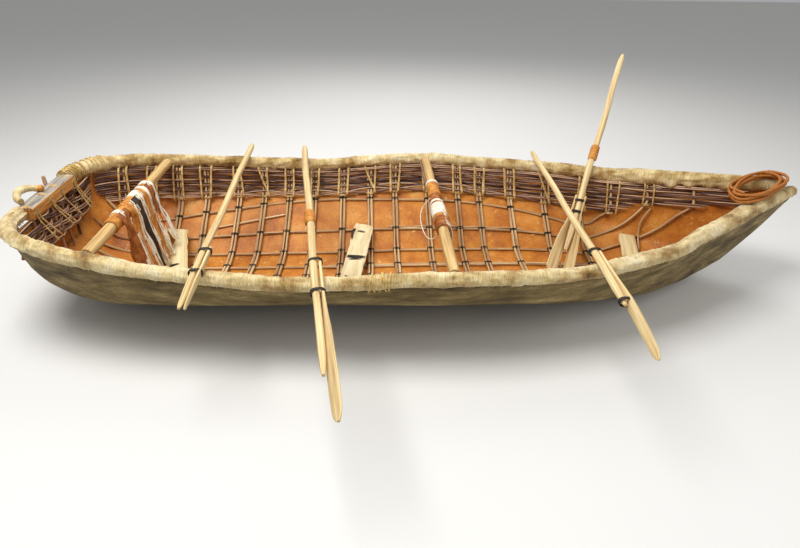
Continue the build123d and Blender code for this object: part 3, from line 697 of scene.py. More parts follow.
def make_ribs():
    """Pairs of bent willow rods across the boat, half ribs at the stern and branches at the bow."""
    third = len(RIBS) // 3
    for name, places in (("aft", RIBS[:third]), ("midships", RIBS[third:2 * third]),
                         ("forward", RIBS[2 * third:])):
        bm = bmesh.new()
        for x in places:
            for offset in (-RIB_PAIR, RIB_PAIR):
                points = [p + Vector((0.0018 * noise.noise(p * 9 + Vector((offset * 900, 0, 0))), 0, 0))
                          for p in rib_line(x + offset)]
                rod(bm, points, RIB_R, sides=8, steps=3, facing=Vector((1, 0, 0)), knots=0.18)
        finish_piece(bm, f"rib_rods_{name}", "hull", (peeled,), replaces=(f"ribs_{name}",))
    bm = bmesh.new()
    for x in STERN_POSTS:
        for side in (1, -1):
            points = [in_band(x, side, drop, RIB_IN) for drop in (0.008, 0.05, 0.09)]
            points += [on_hull(x, side, reach_at(x, *place), RIB_IN)
                       for place in (("bilge", 0.5), ("bilge", 0.0),
                                                                                 ("slope", 0.75))]
            rod(bm, points, RIB_R, steps=4, facing=Vector((1, 0, 0)), knots=0.16)
    finish_piece(bm, "half_ribs_stern", "hull", (peeled,), replaces=("rods_stern",))
    bm = bmesh.new()
    for side in (1, -1):
        points = [on_hull(x, side, reach_at(x, *place), inset) for x, *place, inset in BRANCH]
        rod(bm, points, RIB_R * 0.9, steps=5, facing=Vector((1, 0, 0)), knots=0.2, taper=0.2)
    finish_piece(bm, "bow_branches", "hull", (peeled,), replaces=("rods_bow",))


STRETCHES = ("floor", "turn", "slope", "bilge", "side")
BRANCH = [(1.132, "side", 0.52, 0.025), (1.096, "side", 0.2, 0.029), (1.087, "bilge", 0.4, 0.0323),
          (1.080, "slope", 0.27, 0.028)]

# Stringers as packed, in millimetres: stretch, share of it, where the straight run starts and ends, and
# the places that it sweeps up through at the stern and at the bow, from where it stands in the band
STRINGERS = {
    "keel": ("floor", 0.0, -1528, 1380, [], []),
    "floor": ("floor", 0.80, -1528, 940, [],
              [(1004, "floor", 0.95), (1100, "turn", 0.4), (1180, "slope", 0.03), (1328, "side", 0.1),
               (1444, "side", 0.45)]),
    "turn": ("turn", 0.62, -1528, 850, [],
             [(892, "turn", 0.79), (984, "slope", 0.27), (1096, "bilge", 0.43), (1176, "side", 0.2),
              (1232, "side", 0.45), (1288, "side", 0.65)]),
    "slope": ("slope", 0.22, -1440, 796, [(-1528, "slope", 0.5)],
              [(858, "slope", 0.36), (872, "slope", 0.4), (976, "bilge", 0.14), (1048, "side", 0.15),
               (1112, "side", 0.6)]),
    "bilge": ("slope", 0.80, -1400, 808,
              [(-1436, "slope", 0.9), (-1448, "slope", 0.93), (-1500, "bilge", 0.85)],
              [(858, "slope", 0.98), (884, "bilge", 0.14), (928, "bilge", 0.95), (968, "side", 0.25)]),
}
BOW_RISE = 860
STERN_RISE = -1440

# Second rods laid beside stringers: stringer, start, end, how far towards the rim
DOUBLES = [("slope", -0.15, 0.55, 0.0125), ("floor", -0.45, 1.36, 0.0130), ("turn", -1.30, -1.02, 0.0130)]


def reach_at(x, stretch, share):
    """Length along the section at x from the keel to that share of a stretch."""
    runs = stretches(station_at(x))
    number = STRETCHES.index(stretch)
    return sum(runs[:number]) + runs[number] * share


def stringer_places(name):
    """Places of a stringer from the stern on, each with its reach along the section and its inset."""
    stretch, share, start, end, stern, bow = STRINGERS[name]
    count = 26
    rows = [(start + (end - start) * k / count, stretch, share, STRINGER_IN) for k in range(count + 1)]
    for sweep, rise in ((stern, STERN_RISE), (bow, BOW_RISE)):
        for x, sweep_stretch, sweep_share in sweep:
            risen = max(0.0, (x - rise) / (sweep[-1][0] - rise))
            inset = STRINGER_IN + (RIB_IN - STRINGER_IN) * risen
            rows.insert(0 if x < start else len(rows), (x, sweep_stretch, sweep_share, inset))
    places = [(x * MM, reach_at(x * MM, *at), inset) for x, *at, inset in rows]
    if bow:
        top = bow[-1][0] * MM
        total = sum(stretches(station_at(top)))
        places += [(top + 0.002, (places[-1][1] + total - 0.008) / 2, RIB_IN), (top, total - 0.008, RIB_IN)]
    return places


def stringer_reach(name, x):
    """Reach and inset of a stringer where it passes x."""
    rows = stringer_places(name)
    for (x0, reach0, inset0), (x1, reach1, inset1) in zip(rows, rows[1:]):
        if x0 <= x <= x1 and x1 > x0:
            share = (x - x0) / (x1 - x0)
            return reach0 + (reach1 - reach0) * share, inset0 + (inset1 - inset0) * share
    return rows[-1][1:]


def make_stringers():
    """Long willow rods inside the hide, some of them doubled, that sweep up at the bow to stand in the
    band."""
    for name in STRINGERS:
        bm = bmesh.new()
        for side in (1,) if name == "keel" else (1, -1):
            points = [on_hull(x, side, reach, inset) for x, reach, inset in stringer_places(name)]
            for point in points[1:-2]:
                point.y += 0.003 * noise.noise(Vector((point.x * 5, len(name), side)))
            rod(bm, points, STRINGER_R, steps=3, knots=0.16)
        finish_piece(bm, f"stringer_rods_{name}", "hull", (peeled,),
                     replaces=(f"stringer_{name}",))
    bm = bmesh.new()
    for name, start, end, apart in DOUBLES:
        for side in (1, -1):
            points = []
            for k in range(17):
                x = start + (end - start) * k / 16
                reach, inset = stringer_reach(name, x)
                points.append(on_hull(x, side, reach + apart + 0.002 * sin(k * 1.9), inset))
            rod(bm, points, STRINGER_R * 0.86, steps=3, knots=0.2, taper=0.15)
    points = []
    for k in range(9):
        x = -1.02 + 0.352 * k / 8
        reach = reach_at(x, "slope", 0.42 + 0.15 * k / 8)
        points.append(on_hull(x, 1, reach, STRINGER_IN))
    rod(bm, points, STRINGER_R * 0.85, steps=3, knots=0.2)
    finish_piece(bm, "second_rods", "hull", (peeled,))


def loop_round(bm, centre, across, over, half_wide, half_high, radius, turns=1.0, along=None, sides=5):
    """Adds a thong wound round a bundle: across and over are the bundle's own directions, along the way it
    climbs."""
    points = []
    count = ceil(turns * 12)
    for k in range(count + 1):
        angle = 2 * pi * turns * k / count
        a, b = cos(angle), sin(angle)
        push = 1 / max(abs(a), abs(b)) ** 0.55
        climb = (along or Vector()) * (k / count - 0.5)
        points.append(centre + across * a * push * half_wide + over * b * push * half_high + climb)
    rod(bm, points, radius, sides=sides, steps=2, facing=across.cross(over), blunt=0.8)


def make_crossings():
    """Blackened thongs that bind each pair of rib rods to the stringers."""
    bm = bmesh.new()
    across = Vector((1, 0, 0))

    def bind(x, side, reach, wide, high):
        centre = on_hull(x, side, reach, RIB_IN - 0.002)
        over = (on_hull(x, side, reach, RIB_IN + 0.02) - centre).normalized()
        centre.x -= trail(x, centre.y)
        along = over.cross(across)
        for shift in (-0.0042, 0.0, 0.0042):
            turn = along * (shift + 0.002 * (dice.random() - 0.5))
            loop_round(bm, centre + turn, across, over, wide, high, 0.0021,
                       along=along * 0.005 * dice.uniform(-1, 1))

    for name in STRINGERS:
        for side in (1,) if name == "keel" else (1, -1):
            for x in RIBS:
                bind(x, side, stringer_reach(name, x)[0], RIB_PAIR + RIB_R + 0.0014, RIB_R + 0.0016)
    for side in (1, -1):
        for x in STERN_POSTS:
            bind(x, side, stringer_reach("bilge", x)[0], RIB_R + 0.002, RIB_R + 0.002)
        bind(1.086, side, stringer_reach("turn", 1.086)[0], RIB_R + 0.002, RIB_R + 0.003)
    finish_piece(bm, "rib_bindings", "hull", (tarred,))


def make_band():
    """Woven band: two willow rods to a row, each passing behind one upright and before the next, in lengths
    whose tips show inside, then across the stern between its sticks."""
    lay = RIB_R + WEAVER_R + 0.0022
    for side, name in ((1, "port"), (-1, "starboard")):
        bm = bmesh.new()
        for row, (start, end) in enumerate(BAND_ROWS):
            for pair in (0, 1):
                drop = BAND_TOP + row * ROW_STEP + pair * ROW_PAIR
                stops = [(start - 0.034, 0.0), (start - 0.006 * pair, 0.0)]
                for number, x in enumerate(UPRIGHTS):
                    if x < end - 0.02:
                        stops.append((x, lay if (number + row) % 2 else -lay))
                stops.append((end - 0.012 * pair, 0.0))
                first = 0
                while first < len(stops) - 1:
                    count = dice.randint(5, 10)
                    some = stops[first:first + count + 1]
                    points = []
                    for x, reach in some:
                        sway = 0.0036 * noise.noise(Vector((x * 6, row * 3.1 + pair, side)))
                        points.append(in_band(x, side, max(0.002, drop + sway), RIB_IN + reach))
                    if len(some) > 2 and first + count < len(stops) - 1:
                        points.append(in_band(some[-1][0] + 0.05, side, drop + 0.005, RIB_IN + 0.017))
                    rod(bm, points, WEAVER_R * dice.uniform(0.84, 1.12), sides=6, steps=3, knots=0.2,
                        taper=0.2)
                    first += count
        finish_piece(bm, f"woven_band_{name}", "hull", (bark,), replaces=(f"wicker_{name}",))

    low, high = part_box("wicker_stern")
    stick_x = (low.x + high.x) / 2
    sticks = [-0.180, -0.108, -0.036, 0.036, 0.108, 0.180]
    bm = bmesh.new()
    total = sum(stretches(station_at(stick_x)))
    for y in sticks:
        foot = low.z + max(0.0, abs(y) - 0.09) * 0.9
        rod(bm, [(stick_x, y, foot), (stick_x, y + 0.002, (foot + high.z) / 2), (stick_x, y, high.z)], RIB_R,
            facing=Vector((1, 0, 0)), knots=0.15)
    for row in range(16):
        drop = 0.006 + row * 0.0117
        out, up, _ = section_point(station_at(stick_x), max(0.02, total - drop), HIDE + WEAVER_R + 0.003)
        points = [(stick_x, -out, up)]
        for number, y in enumerate(sticks):
            if abs(y) < out - 0.02:
                reach = lay if (number + row // 2) % 2 else -lay * 0.8
                points.append((stick_x + reach, y, up + 0.004 * noise.noise(Vector((y * 20, row, 3)))))
        points.append((stick_x, out, up))
        rod(bm, points, WEAVER_R * dice.uniform(0.84, 1.1), sides=6, steps=4, knots=0.2)
    finish_piece(bm, "woven_band_stern", "hull", (bark,), replaces=("wicker_stern",))


def band_deep(x):
    """How far below the hide's edge the band's last row lies at x."""
    return 0.024 + ROW_STEP * max((row for row, (start, end) in enumerate(BAND_ROWS) if start <= x < end),
                                  default=0)


def make_thongs():
    """Flat rawhide thongs that hang from the rim's roll, cross the woven band and are tied under its last
    row, and the long ones from the stern's timber."""
    bm = bmesh.new()
    for side in (1, -1):
        wall = Vector((0, -side * 0.94, 0.34))
        for x in UPRIGHTS[:-1]:
            if x > 1.25:
                continue
            for hand in (-1, 1):
                top = x + hand * dice.uniform(0.014, 0.026) + dice.uniform(-0.010, 0.010)
                foot = x + hand * dice.uniform(0.016, 0.024)
                if dice.random() < 0.14:
                    foot -= hand * 0.05
                deep = band_deep(x)
                stand = RIB_IN + RIB_R + 2 * WEAVER_R + 0.005
                drops = [-0.012, 0.012, deep * 0.5, deep, deep + 0.008]
                ins = [0.012, stand - 0.004, stand, stand - 0.002, RIB_IN - 0.004]
                points = []
                for drop, inset in zip(drops, ins):
                    at = top + (foot - top) * min(1.0, max(0.0, drop) / deep)
                    points.append(in_band(at, side, max(0.0, drop), inset) + UP * max(0.0, -drop))
                rod(bm, points, dice.uniform(0.0040, 0.0056), sides=6, steps=4, squash=0.4, facing=wall,
                    knots=0.3)
            for k in range(2):
                centre = in_band(x, side, band_deep(x) - 0.003 + 0.006 * k, RIB_IN + 0.001)
                loop_round(bm, centre, Vector((1, 0, 0)), wall, RIB_PAIR + RIB_R + 0.003, RIB_R + 0.005,
                           0.0026)
    for y, foot in ((-0.165, -0.135), (-0.148, -0.098), (-0.040, 0.004), (-0.030, 0.030), (0.050, 0.094),
                    (0.160, 0.178), (0.172, 0.205)):
        line = [(-1.5355, y, 0.440), (-1.534, y + 0.002, 0.400), (-1.523, (y + foot) / 2, 0.352),
                (-1.506, foot, 0.298), (-1.510, foot + 0.004, 0.286)]
        rod(bm, line, 0.0044, sides=6, steps=4, squash=0.5, facing=Vector((1, 0, 0.2)), knots=0.25)
    finish_piece(bm, "band_thongs", "hull", (rawhide,))


def ends_of(node):
    """Middles of the two ends of a straight CAD rod, and its radius."""
    co = points_of(node)
    centre = co.mean(0)
    axis = np.linalg.svd(co - centre, full_matrices=False)[2][0]
    along = (co - centre) @ axis
    ends = [Vector(centre + axis * value) for value in (along.min(), along.max())]
    radius = float(np.linalg.norm(co - centre - np.outer(along, axis), axis=1).max())
    return ends[0], ends[1], radius


# Wraps on the poles: pole, where each length of winding starts and ends to port, how proud it stands, its
# material
WINDINGS = [
    ("aft", 0.168, 0.150, 0.004, ochre), ("aft", 0.150, 0.122, 0.008, white_hide),
    ("aft", 0.122, 0.088, 0.004, ochre), ("aft", 0.088, 0.066, 0.008, white_hide),
    ("aft", 0.066, 0.040, 0.005, ochre), ("aft", 0.040, -0.018, 0.009, white_hide),
    ("aft", -0.018, -0.070, 0.006, ochre), ("aft", -0.070, -0.110, 0.008, ochre),
    ("aft", -0.110, -0.155, 0.005, ochre), ("aft", -0.155, -0.182, 0.009, white_hide),
    ("aft", -0.182, -0.248, 0.005, ochre),
    ("mid", 0.238, 0.222, 0.008, white_hide), ("mid", 0.222, 0.150, 0.005, ochre),
    ("mid", 0.150, 0.085, 0.007, ochre), ("mid", 0.085, 0.020, 0.006, brown_hide),
    ("mid", 0.020, 0.004, 0.007, white_hide), ("mid", 0.004, -0.022, 0.005, brown_hide),
    ("mid", -0.022, -0.122, 0.010, white_hide), ("mid", -0.122, -0.146, 0.007, ochre),
    ("mid", -0.146, -0.186, 0.008, brown_hide), ("mid", -0.186, -0.233, 0.006, brown_hide),
]


def make_poles():
    """The two peeled poles across the boat, with their knots, and the leather wound round each."""
    for name in ("aft", "mid"):
        start, end, radius = ends_of(f"thwart_{name}")
        if start.y < end.y:
            start, end = end, start
        bm = bmesh.new()
        points = [start.lerp(end, k / 8) + Vector((0, 0, 0.002 * sin(k * 1.7))) for k in range(9)]
        rod(bm, points, radius * 0.985, sides=20, steps=6, facing=UP, blunt=0.9, knots=0.07)
        finish_piece(bm, f"pole_{name}", "hull", (pole_wood,), replaces=(f"thwart_{name}",))
        materials = []
        bm = bmesh.new()
        for pole, port, starboard, proud, material in WINDINGS:
            if pole != name:
                continue
            if material not in materials:
                materials.append(material)
            turns = max(2, round((port - starboard) / 0.011))
            before = set(bm.faces)

            def place(u, v):
                y = port + (starboard - port) * v
                swell = abs(sin(pi * (v * turns + u)))
                edge = 0.0 if v in (0, 1) else 1.0
                r = radius + 0.001 + edge * (proud - 0.002 + 0.0022 * swell + 0.0016 * noise.noise(
                    Vector((y * 70, cos(2 * pi * u) * 2, sin(2 * pi * u) * 2))))
                return Vector((start.x + r * cos(2 * pi * u), y, start.z + r * sin(2 * pi * u)))

            wrapped(bm, turns * 6, 24, place, (0.16, port - starboard))
            for face in set(bm.faces) - before:
                face.material_index = materials.index(material)
        finish_piece(bm, f"winding_{name}", "hull", materials,
                     replaces=(f"thwart_{name}_wrap",),
                     cap=False)


def make_pole_extras():
    """Thin dark stick beside the port end of the middle pole, and a white ribbon tied in a loop under that
    pole."""
    low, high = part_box("thwart_mid_stick")
    middle = (low + high) / 2
    bm = bmesh.new()
    rod(bm, [(middle.x, high.y, middle.z), (middle.x + 0.001, middle.y, middle.z + 0.001),
             (middle.x, low.y, middle.z)],
        (high.x - low.x) * 0.48, sides=8, steps=6, knots=0.2)
    finish_piece(bm, "mid_pole_stick", "hull", (bark,), replaces=("thwart_mid_stick",))
    points = [(0.036, 0.065, 0.388), (0.004, 0.060, 0.358), (-0.020, 0.030, 0.318), (-0.012, -0.030, 0.272),
              (0.008, -0.095, 0.258), (0.036, -0.150, 0.288), (0.046, -0.168, 0.346)]
    ribbon = cord("white_ribbon", points, RIBBON_R, 8, 2, white_hide)


# Strips of hide on the poles: pole, place to port, width, foot's height, lean to the bow, drift to port,
# how much of each edge is white fur and the hide between
HUNG = [
    ("aft", 0.148, 0.024, 0.150, 0.070, -0.012, 0.9, brown_hide),
    ("aft", 0.118, 0.044, 0.136, 0.050, 0.004, 0.0, brown_hide),
    ("aft", 0.082, 0.024, 0.114, 0.066, -0.014, 0.9, brown_hide),
    ("aft", 0.044, 0.054, 0.106, 0.050, 0.004, 0.25, ochre),
    ("aft", 0.004, 0.020, 0.104, 0.068, -0.010, 0.9, brown_hide),
    ("aft", -0.030, 0.054, 0.098, 0.046, 0.002, 0.0, dark_hide),
    ("aft", -0.070, 0.024, 0.094, 0.066, -0.008, 0.9, brown_hide),
    ("aft", -0.104, 0.048, 0.090, 0.050, 0.003, 0.15, ochre),
    ("aft", -0.172, 0.074, 0.084, 0.040, 0.0, 0.1, brown_hide),
    ("mid", -0.110, 0.032, 0.070, 0.044, -0.004, 0.1, brown_hide),
    ("mid", -0.134, 0.018, 0.072, 0.058, 0.006, 0.9, brown_hide),
    ("mid", -0.160, 0.038, 0.066, 0.054, 0.0, 0.2, ochre),
    ("mid", -0.208, 0.030, 0.064, 0.046, -0.006, 0.6, brown_hide),
]


def make_strips():
    """Strips of hide that hang from the windings to the ribs, each its own limp ribbon with torn edges,
    some of them with white fur left on."""
    stood_for = set()
    for number, (pole, y, width, foot, lean, drift, fur, material) in enumerate(HUNG):
        start, _, radius = ends_of(f"thwart_{pole}")
        x0, z0 = start.x + radius + 0.006, start.z
        line = fair_line([(x0 - radius * 0.7, y, z0 + radius + 0.007), (x0 + 0.004, y, z0 + 0.004),
                          (x0 + 0.005 + lean * 0.1, y + drift * 0.2, z0 - 0.06),
                          (x0 + lean * 0.42, y + drift * 0.6, (z0 + foot) / 2),
                          (x0 + lean * 0.86, y + drift, foot + 0.03), (x0 + lean, y + drift * 1.05, foot)], 7)
        length = sum((b - a).length for a, b in zip(line, line[1:]))
        last = len(line) - 1
        phase = dice.random() * 20
        bm = bmesh.new()

        def place(u, v):
            point = line[round(v * last)]
            twist = 0.9 * noise.noise(Vector((v * 2.4, phase, 1))) * min(1, v * 2)
            torn = 1 + 0.35 * noise.noise(Vector((v * 9, phase, 7 if u > 0.5 else 3))) * min(1, v * 4)
            half = (u - 0.5) * width * (1 - 0.2 * v * v) * torn
            ripple = 0.006 * noise.noise(Vector((v * 7, u * 2, phase))) * min(1, v * 3)
            ragged = 0.012 * noise.noise(Vector((u * 5, phase, 2))) * (1 if v == 1 else 0)
            return point + Vector((half * sin(twist) + ripple, half * cos(twist), ragged))

        wrapped(bm, last, 8, place, (width, length))
        uv = bm.loops.layers.uv.active
        for face in bm.faces:
            edge = abs(2 * sum(loop[uv].uv.x for loop in face.loops) / len(face.loops) / width - 1)
            patch = noise.noise(face.calc_center_median() * 16)
            face.material_index = 1 if edge + patch * 0.5 > 1.02 - fur else 0
        area = sum(face.calc_area() for face in bm.faces)
        strip = finish_piece(bm, f"hide_strip_{pole}_{number}", "hull",
                             (material, white_hide), cap=False)
        wall = strip.modifiers.new("thickness", "SOLIDIFY")
        wall.thickness = STRIP_THICK
        wall.offset = 0
        applied(strip)
        if pole not in stood_for:
            stood_for.add(pole)
            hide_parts(f"thwart_{pole}_strips")


def make_boards():
    """The three loose boards: split softwood with a slanted end, birch with a curl of bark, and one with a
    lashed waist, with the thongs that are tied to them."""
    for name, material, notch in (("aft", board_wood, 0.0), ("mid", birch, 0.0), ("bow", board_wood, 0.16)):
        co = points_of(f"board_{name}")
        centre = co.mean(0)
        axes = np.linalg.svd(co - centre, full_matrices=False)[2]
        if axes[0][1] < 0:
            axes[0] *= -1
        if axes[2][2] < 0:
            axes[2] *= -1
        local = (co - centre) @ axes.T
        low, high = local.min(0), local.max(0)
        middle = Vector(centre + axes.T @ ((low + high) / 2))
        size = high - low
        long_way, wide_way, thick_way = (Vector(axis) for axis in axes)
        bm = bmesh.new()

        def place(u, v):
            along = (v - 0.5) * size[0]
            waist = 1 - notch * max(0.0, 1 - abs(v - 0.44) / 0.05)
            end = min(1.0, (1 - abs(2 * v - 1)) * 14)
            angle = 2 * pi * u
            a, b = cos(angle), sin(angle)
            across = abs(a) ** 0.4 * (1 if a > 0 else -1) * size[1] / 2 * waist * (0.88 + 0.12 * end)
            thick = abs(b) ** 0.5 * (1 if b > 0 else -1) * size[2] / 2 * (0.4 + 0.6 * end)
            if name == "aft":
                along -= 0.10 * max(0.0, v - 0.86) / 0.14 * (0.5 + across / size[1]) * size[0] * 0.8
            if name == "mid" and v > 0.9:
                thick += 0.006 * (v - 0.9) / 0.1 * (1 + a)
            rough = 0.0016 * noise.noise(Vector((along * 30, across * 60, b)))
            chipped = 0.004 * noise.noise(Vector((along * 22, a * 2, 5)))
            return middle + long_way * along + wide_way * (across + chipped) + thick_way * (thick + rough)

        wrapped(bm, 60, 20, place, (size[1] * 2, size[0]))
        finish_piece(bm, f"plank_{name}", "hull", (material,), replaces=(f"board_{name}",))
        bm = bmesh.new()
        if name == "aft":
            spots = [(-0.06, 0.0, 0.030, 0.3)]
        elif name == "mid":
            spots = [(0.19, 0.006, 0.024, 0.1), (-0.03, 0.0, 0.038, -0.2),
                     (-0.17, 0.010, 0.024, 0.6), (-0.19, 0.006, 0.030, -0.3)]
        else:
            spots = []
        top = size[2] / 2 + 0.0012
        for place_along, off, half, slant in spots:
            for k in (-1, 1):
                middle_at = middle + long_way * place_along * size[0] / 0.5 + wide_way * off + thick_way * top
                way = (wide_way + long_way * slant).normalized()
                shift = long_way * 0.004 * k
                rod(bm, [middle_at - way * half + shift - thick_way * 0.004, middle_at + shift,
                         middle_at + way * half + shift - thick_way * 0.004], 0.0026, sides=6, steps=4)
        if name == "mid":
            for k in range(3):
                at = middle + long_way * ((k - 1) * 0.007 - 0.01)
                loop_round(bm, at, wide_way, thick_way, size[1] / 2 * 0.94, size[2] / 2 + 0.001, 0.0030,
                           along=long_way * 0.012)
            curl = [middle + long_way * size[0] * 0.42 + wide_way * size[1] * 0.42 + thick_way * 0.006,
                    middle + long_way * size[0] * 0.34 + wide_way * size[1] * 0.50 + thick_way * 0.016,
                    middle + long_way * size[0] * 0.24 + wide_way * size[1] * 0.44 + thick_way * 0.010]
            rod(bm, curl, 0.0055, sides=6, steps=5, knots=0.4, taper=0.4)
        if name == "bow":
            for k in range(4):
                at = middle + long_way * ((0.44 - 0.5) * size[0] + (k - 1.5) * 0.006)
                loop_round(bm, at, wide_way, thick_way, size[1] / 2 * 0.9, size[2] / 2 + 0.001, 0.0026)
        finish_piece(bm, f"plank_{name}_thong", "hull", (rawhide if name == "bow" else tarred,))


def blade_axes(number):
    """Butt, heading, end and radius of a paddle's shaft, the butt being its end above the port side."""
    start, end, radius = ends_of(f"paddle_{number}_shaft")
    if start.y < end.y:
        start, end = end, start
    return start, (end - start).normalized(), (end - start).length, radius


# Blades: half widths at the neck, where it is widest and near the tip, how far its face is turned at the
# tip in degrees, and how far the tip is bent forward
BLADES = {"1": (0.011, 0.016, 0.010, 8, 0.0), "2": (0.010, 0.030, 0.020, 38, 0.006),
          "3": (0.015, 0.033, 0.026, 66, 0.0),
          "4": (0.010, 0.021, 0.014, 20, -0.022)}


def make_paddles():
    """Peeled shafts with whittled ends, split blades bound to them, the thongs that bind them and leather
    sleeves."""
    for number in "1234":
        butt, heading, length, radius = blade_axes(number)
        beside = Vector((-heading.y, heading.x, 0)).normalized()
        over = heading.cross(beside)
        body = f"paddle_{number}"
        bm = bmesh.new()
        line = [butt + heading * length * k / 30 + beside * 0.0022 * sin(k * 0.43 + int(number))
                for k in range(31)]

        def place(u, v):
            k = round(v * 90)
            point = line[k // 3].lerp(line[min(k // 3 + 1, 30)], k % 3 / 3)
            r = radius * (0.95 + 0.07 * noise.noise(Vector((v * 9, int(number), cos(2 * pi * u)))))
            r *= 1 + 0.10 * max(0.0, noise.noise(Vector((v * 26, int(number) * 3, 1))) - 0.2)
            whittled = min(v * length / 0.05, (1 - v) * length / 0.09, 1.0)
            a, b = cos(2 * pi * u), sin(2 * pi * u)
            r *= 0.45 + 0.55 * sqrt(max(0.0, whittled))
            r *= 1 - (0.24 if number in "12" else 0.1) * min(1.0, max(0.0, (v - 0.62) / 0.2))
            flat = 1 - 0.06 * (floor(u * 7) % 2) * (1 if whittled < 1 else 0)
            return point + (beside * a + over * b) * r * flat

        wrapped(bm, 90, 16, place, (2 * pi * radius, length))
        finish_piece(bm, f"{body}_pole", body, (paddle_wood,), replaces=(f"{body}_shaft",))

        co = points_of(f"{body}_blade") - np.array(butt)
        reach, off = co @ np.array(heading), co @ np.array(beside)
        sides = sorted({1 if value > 0 else -1 for value in off})
        neck_half, wide_half, tip_half, turned, bent = BLADES[number]
        bm = bmesh.new()
        for side in sides:
            mine = off * side > 0
            start, stop = reach[mine].min(), reach[mine].max()
            near, far = abs(off[mine]).min(), abs(off[mine]).max()

            def blade(u, v):
                along = start + (stop - start) * v
                ease = max(0.0, (v - 0.22) / 0.78)
                if v < 0.62:
                    rise = max(0.0, (v - 0.22) / 0.40)
                    half = neck_half + (wide_half - neck_half) * rise * rise * (3 - 2 * rise)
                else:
                    half = wide_half + (tip_half - wide_half) * ((v - 0.62) / 0.38) ** 1.5
                half *= sqrt(max(0.03, 1 - max(0.0, (v - 0.93) / 0.07) ** 2.4)) * min(1.0, 0.6 + v * 12)
                half *= 1 + 0.05 * noise.noise(Vector((v * 8, side, int(number))))
                thin = (far - near) / 2 * (1 - 0.45 * ease)
                t = radians(turned) * ease ** 0.8 * side
                a, b = cos(2 * pi * u), sin(2 * pi * u)
                wide = half * abs(a) ** 0.75 * (1 if a > 0 else -1)
                thick = thin * abs(b) ** 0.6 * (1 if b > 0 else -1)
                spread = wide_half * sin(radians(turned)) * 0.55 * ease if len(sides) > 1 else 0.0
                middle = side * ((near + far) / 2 + spread)
                wide_way = over * cos(t) + beside * sin(t)
                thick_way = beside * cos(t) - over * sin(t)
                return (butt + heading * along + beside * middle + wide_way * wide + thick_way * thick
                        + Vector((bent * ease * ease, 0, 0)))

            wrapped(bm, 60, 20, blade, (0.12, stop - start))
        finish_piece(bm, f"{body}_split_blade", body, (paddle_wood,),
                     replaces=(f"{body}_blade",))

        co = points_of(f"{body}_lashings") - np.array(butt)
        reach, off, tall = co @ np.array(heading), co @ np.array(beside), co @ np.array(over)
        order = np.sort(reach)
        breaks = [order[0]] + [b for a, b in zip(order, order[1:]) if b - a > 0.004]
        bm = bmesh.new()
        for place_along in sorted({round(float(v), 3) for v in breaks})[::2]:
            mine = abs(reach - place_along) < 0.02
            low, high = off[mine].min(), off[mine].max()
            centre = butt + heading * (place_along + 0.008) + beside * (low + high) / 2
            loop_round(bm, centre, beside, over, (high - low) / 2 - 0.0018, tall[mine].max() - 0.0028, 0.0021,
                       turns=4, along=heading * 0.013, sides=6)
        finish_piece(bm, f"{body}_thongs", body, (tarred,), replaces=(f"{body}_lashings",))

        if f"{body}_sleeve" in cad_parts:
            co = points_of(f"{body}_sleeve") - np.array(butt)
            reach = co @ np.array(heading)
            start, stop = reach.min(), reach.max()
            outer = max(abs(co @ np.array(over)))
            bm = bmesh.new()

            def sleeve(u, v):
                r = outer * (1.0 + 0.05
                             * noise.noise(Vector((v * 5, cos(2 * pi * u) * 2, sin(2 * pi * u) * 2))))
                r -= 0.0045 * max(0.0, abs(2 * v - 1) - 0.86) / 0.14
                r += 0.0012 * sin(v * 34) + (0.0012 if u < 0.55 else 0.0)
                along = start + (stop - start) * (0.5 + (v - 0.5) * (1 + 0.05 * sin(2 * pi * u)))
                return butt + heading * along + (beside * cos(2 * pi * u) + over * sin(2 * pi * u)) * r

            wrapped(bm, 30, 28, sleeve, (0.13, stop - start))
            finish_piece(bm, f"{body}_leather_sleeve", body, (ochre,),
                         replaces=(f"{body}_sleeve",))


def make_rope():
    """Loose hank of rope on the stem: six turns of differing size that cross each other, and its frayed
    end."""
    low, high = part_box("bow_rope")
    centre = (low + high) / 2
    turn = radians(32)
    along, across = Vector((cos(turn), sin(turn), 0.085)), Vector((-sin(turn), cos(turn), -0.05))
    oval = [(-0.168, 0.000), (-0.150, -0.034), (-0.080, -0.060), (0.020, -0.062), (0.110, -0.052),
            (0.160, -0.016),
            (0.148, 0.034), (0.070, 0.058), (-0.040, 0.062), (-0.128, 0.044)]
    turns = [(1.00, 1.00, 0.00, -0.0085), (1.08, 1.14, 0.05, -0.0070), (0.94, 1.20, -0.07, 0.0035),
             (1.09, 0.92, 0.04, 0.0050), (0.90, 1.06, 0.09, 0.0155), (1.03, 1.22, -0.05, 0.0170)]
    points = []
    for wide, deep, lean, lift in turns:
        for a, b in oval:
            sway = 0.003 * noise.noise(Vector((a * 14, b * 20, lift * 300)))
            points.append(centre + along * (a * wide) + across * (b * deep + a * lean + sway)
                          + UP * (lift + 0.4 * sway))
    points.append(centre + along * -0.150 + across * -0.020 + UP * 0.024)
    rope = cord("stem_rope", points, ROPE_R, 6, 3, fibre)
    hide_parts("bow_rope")
    bm = bmesh.new()
    root = centre + along * 0.150 + across * 0.036 + UP * 0.012
    for _ in range(34):
        lie = (along + across * dice.uniform(-0.9, 0.5) + UP * dice.uniform(-0.25, 0.35)).normalized()
        droop = UP * dice.uniform(-0.010, 0.002)
        reach = dice.uniform(0.018, 0.034)
        rod(bm, [root, root + lie * reach * 0.5, root + lie * reach + droop], 0.0014, sides=4, steps=3,
            taper=0.6)
    finish_piece(bm, "rope_fray", "hull", (fibre,))


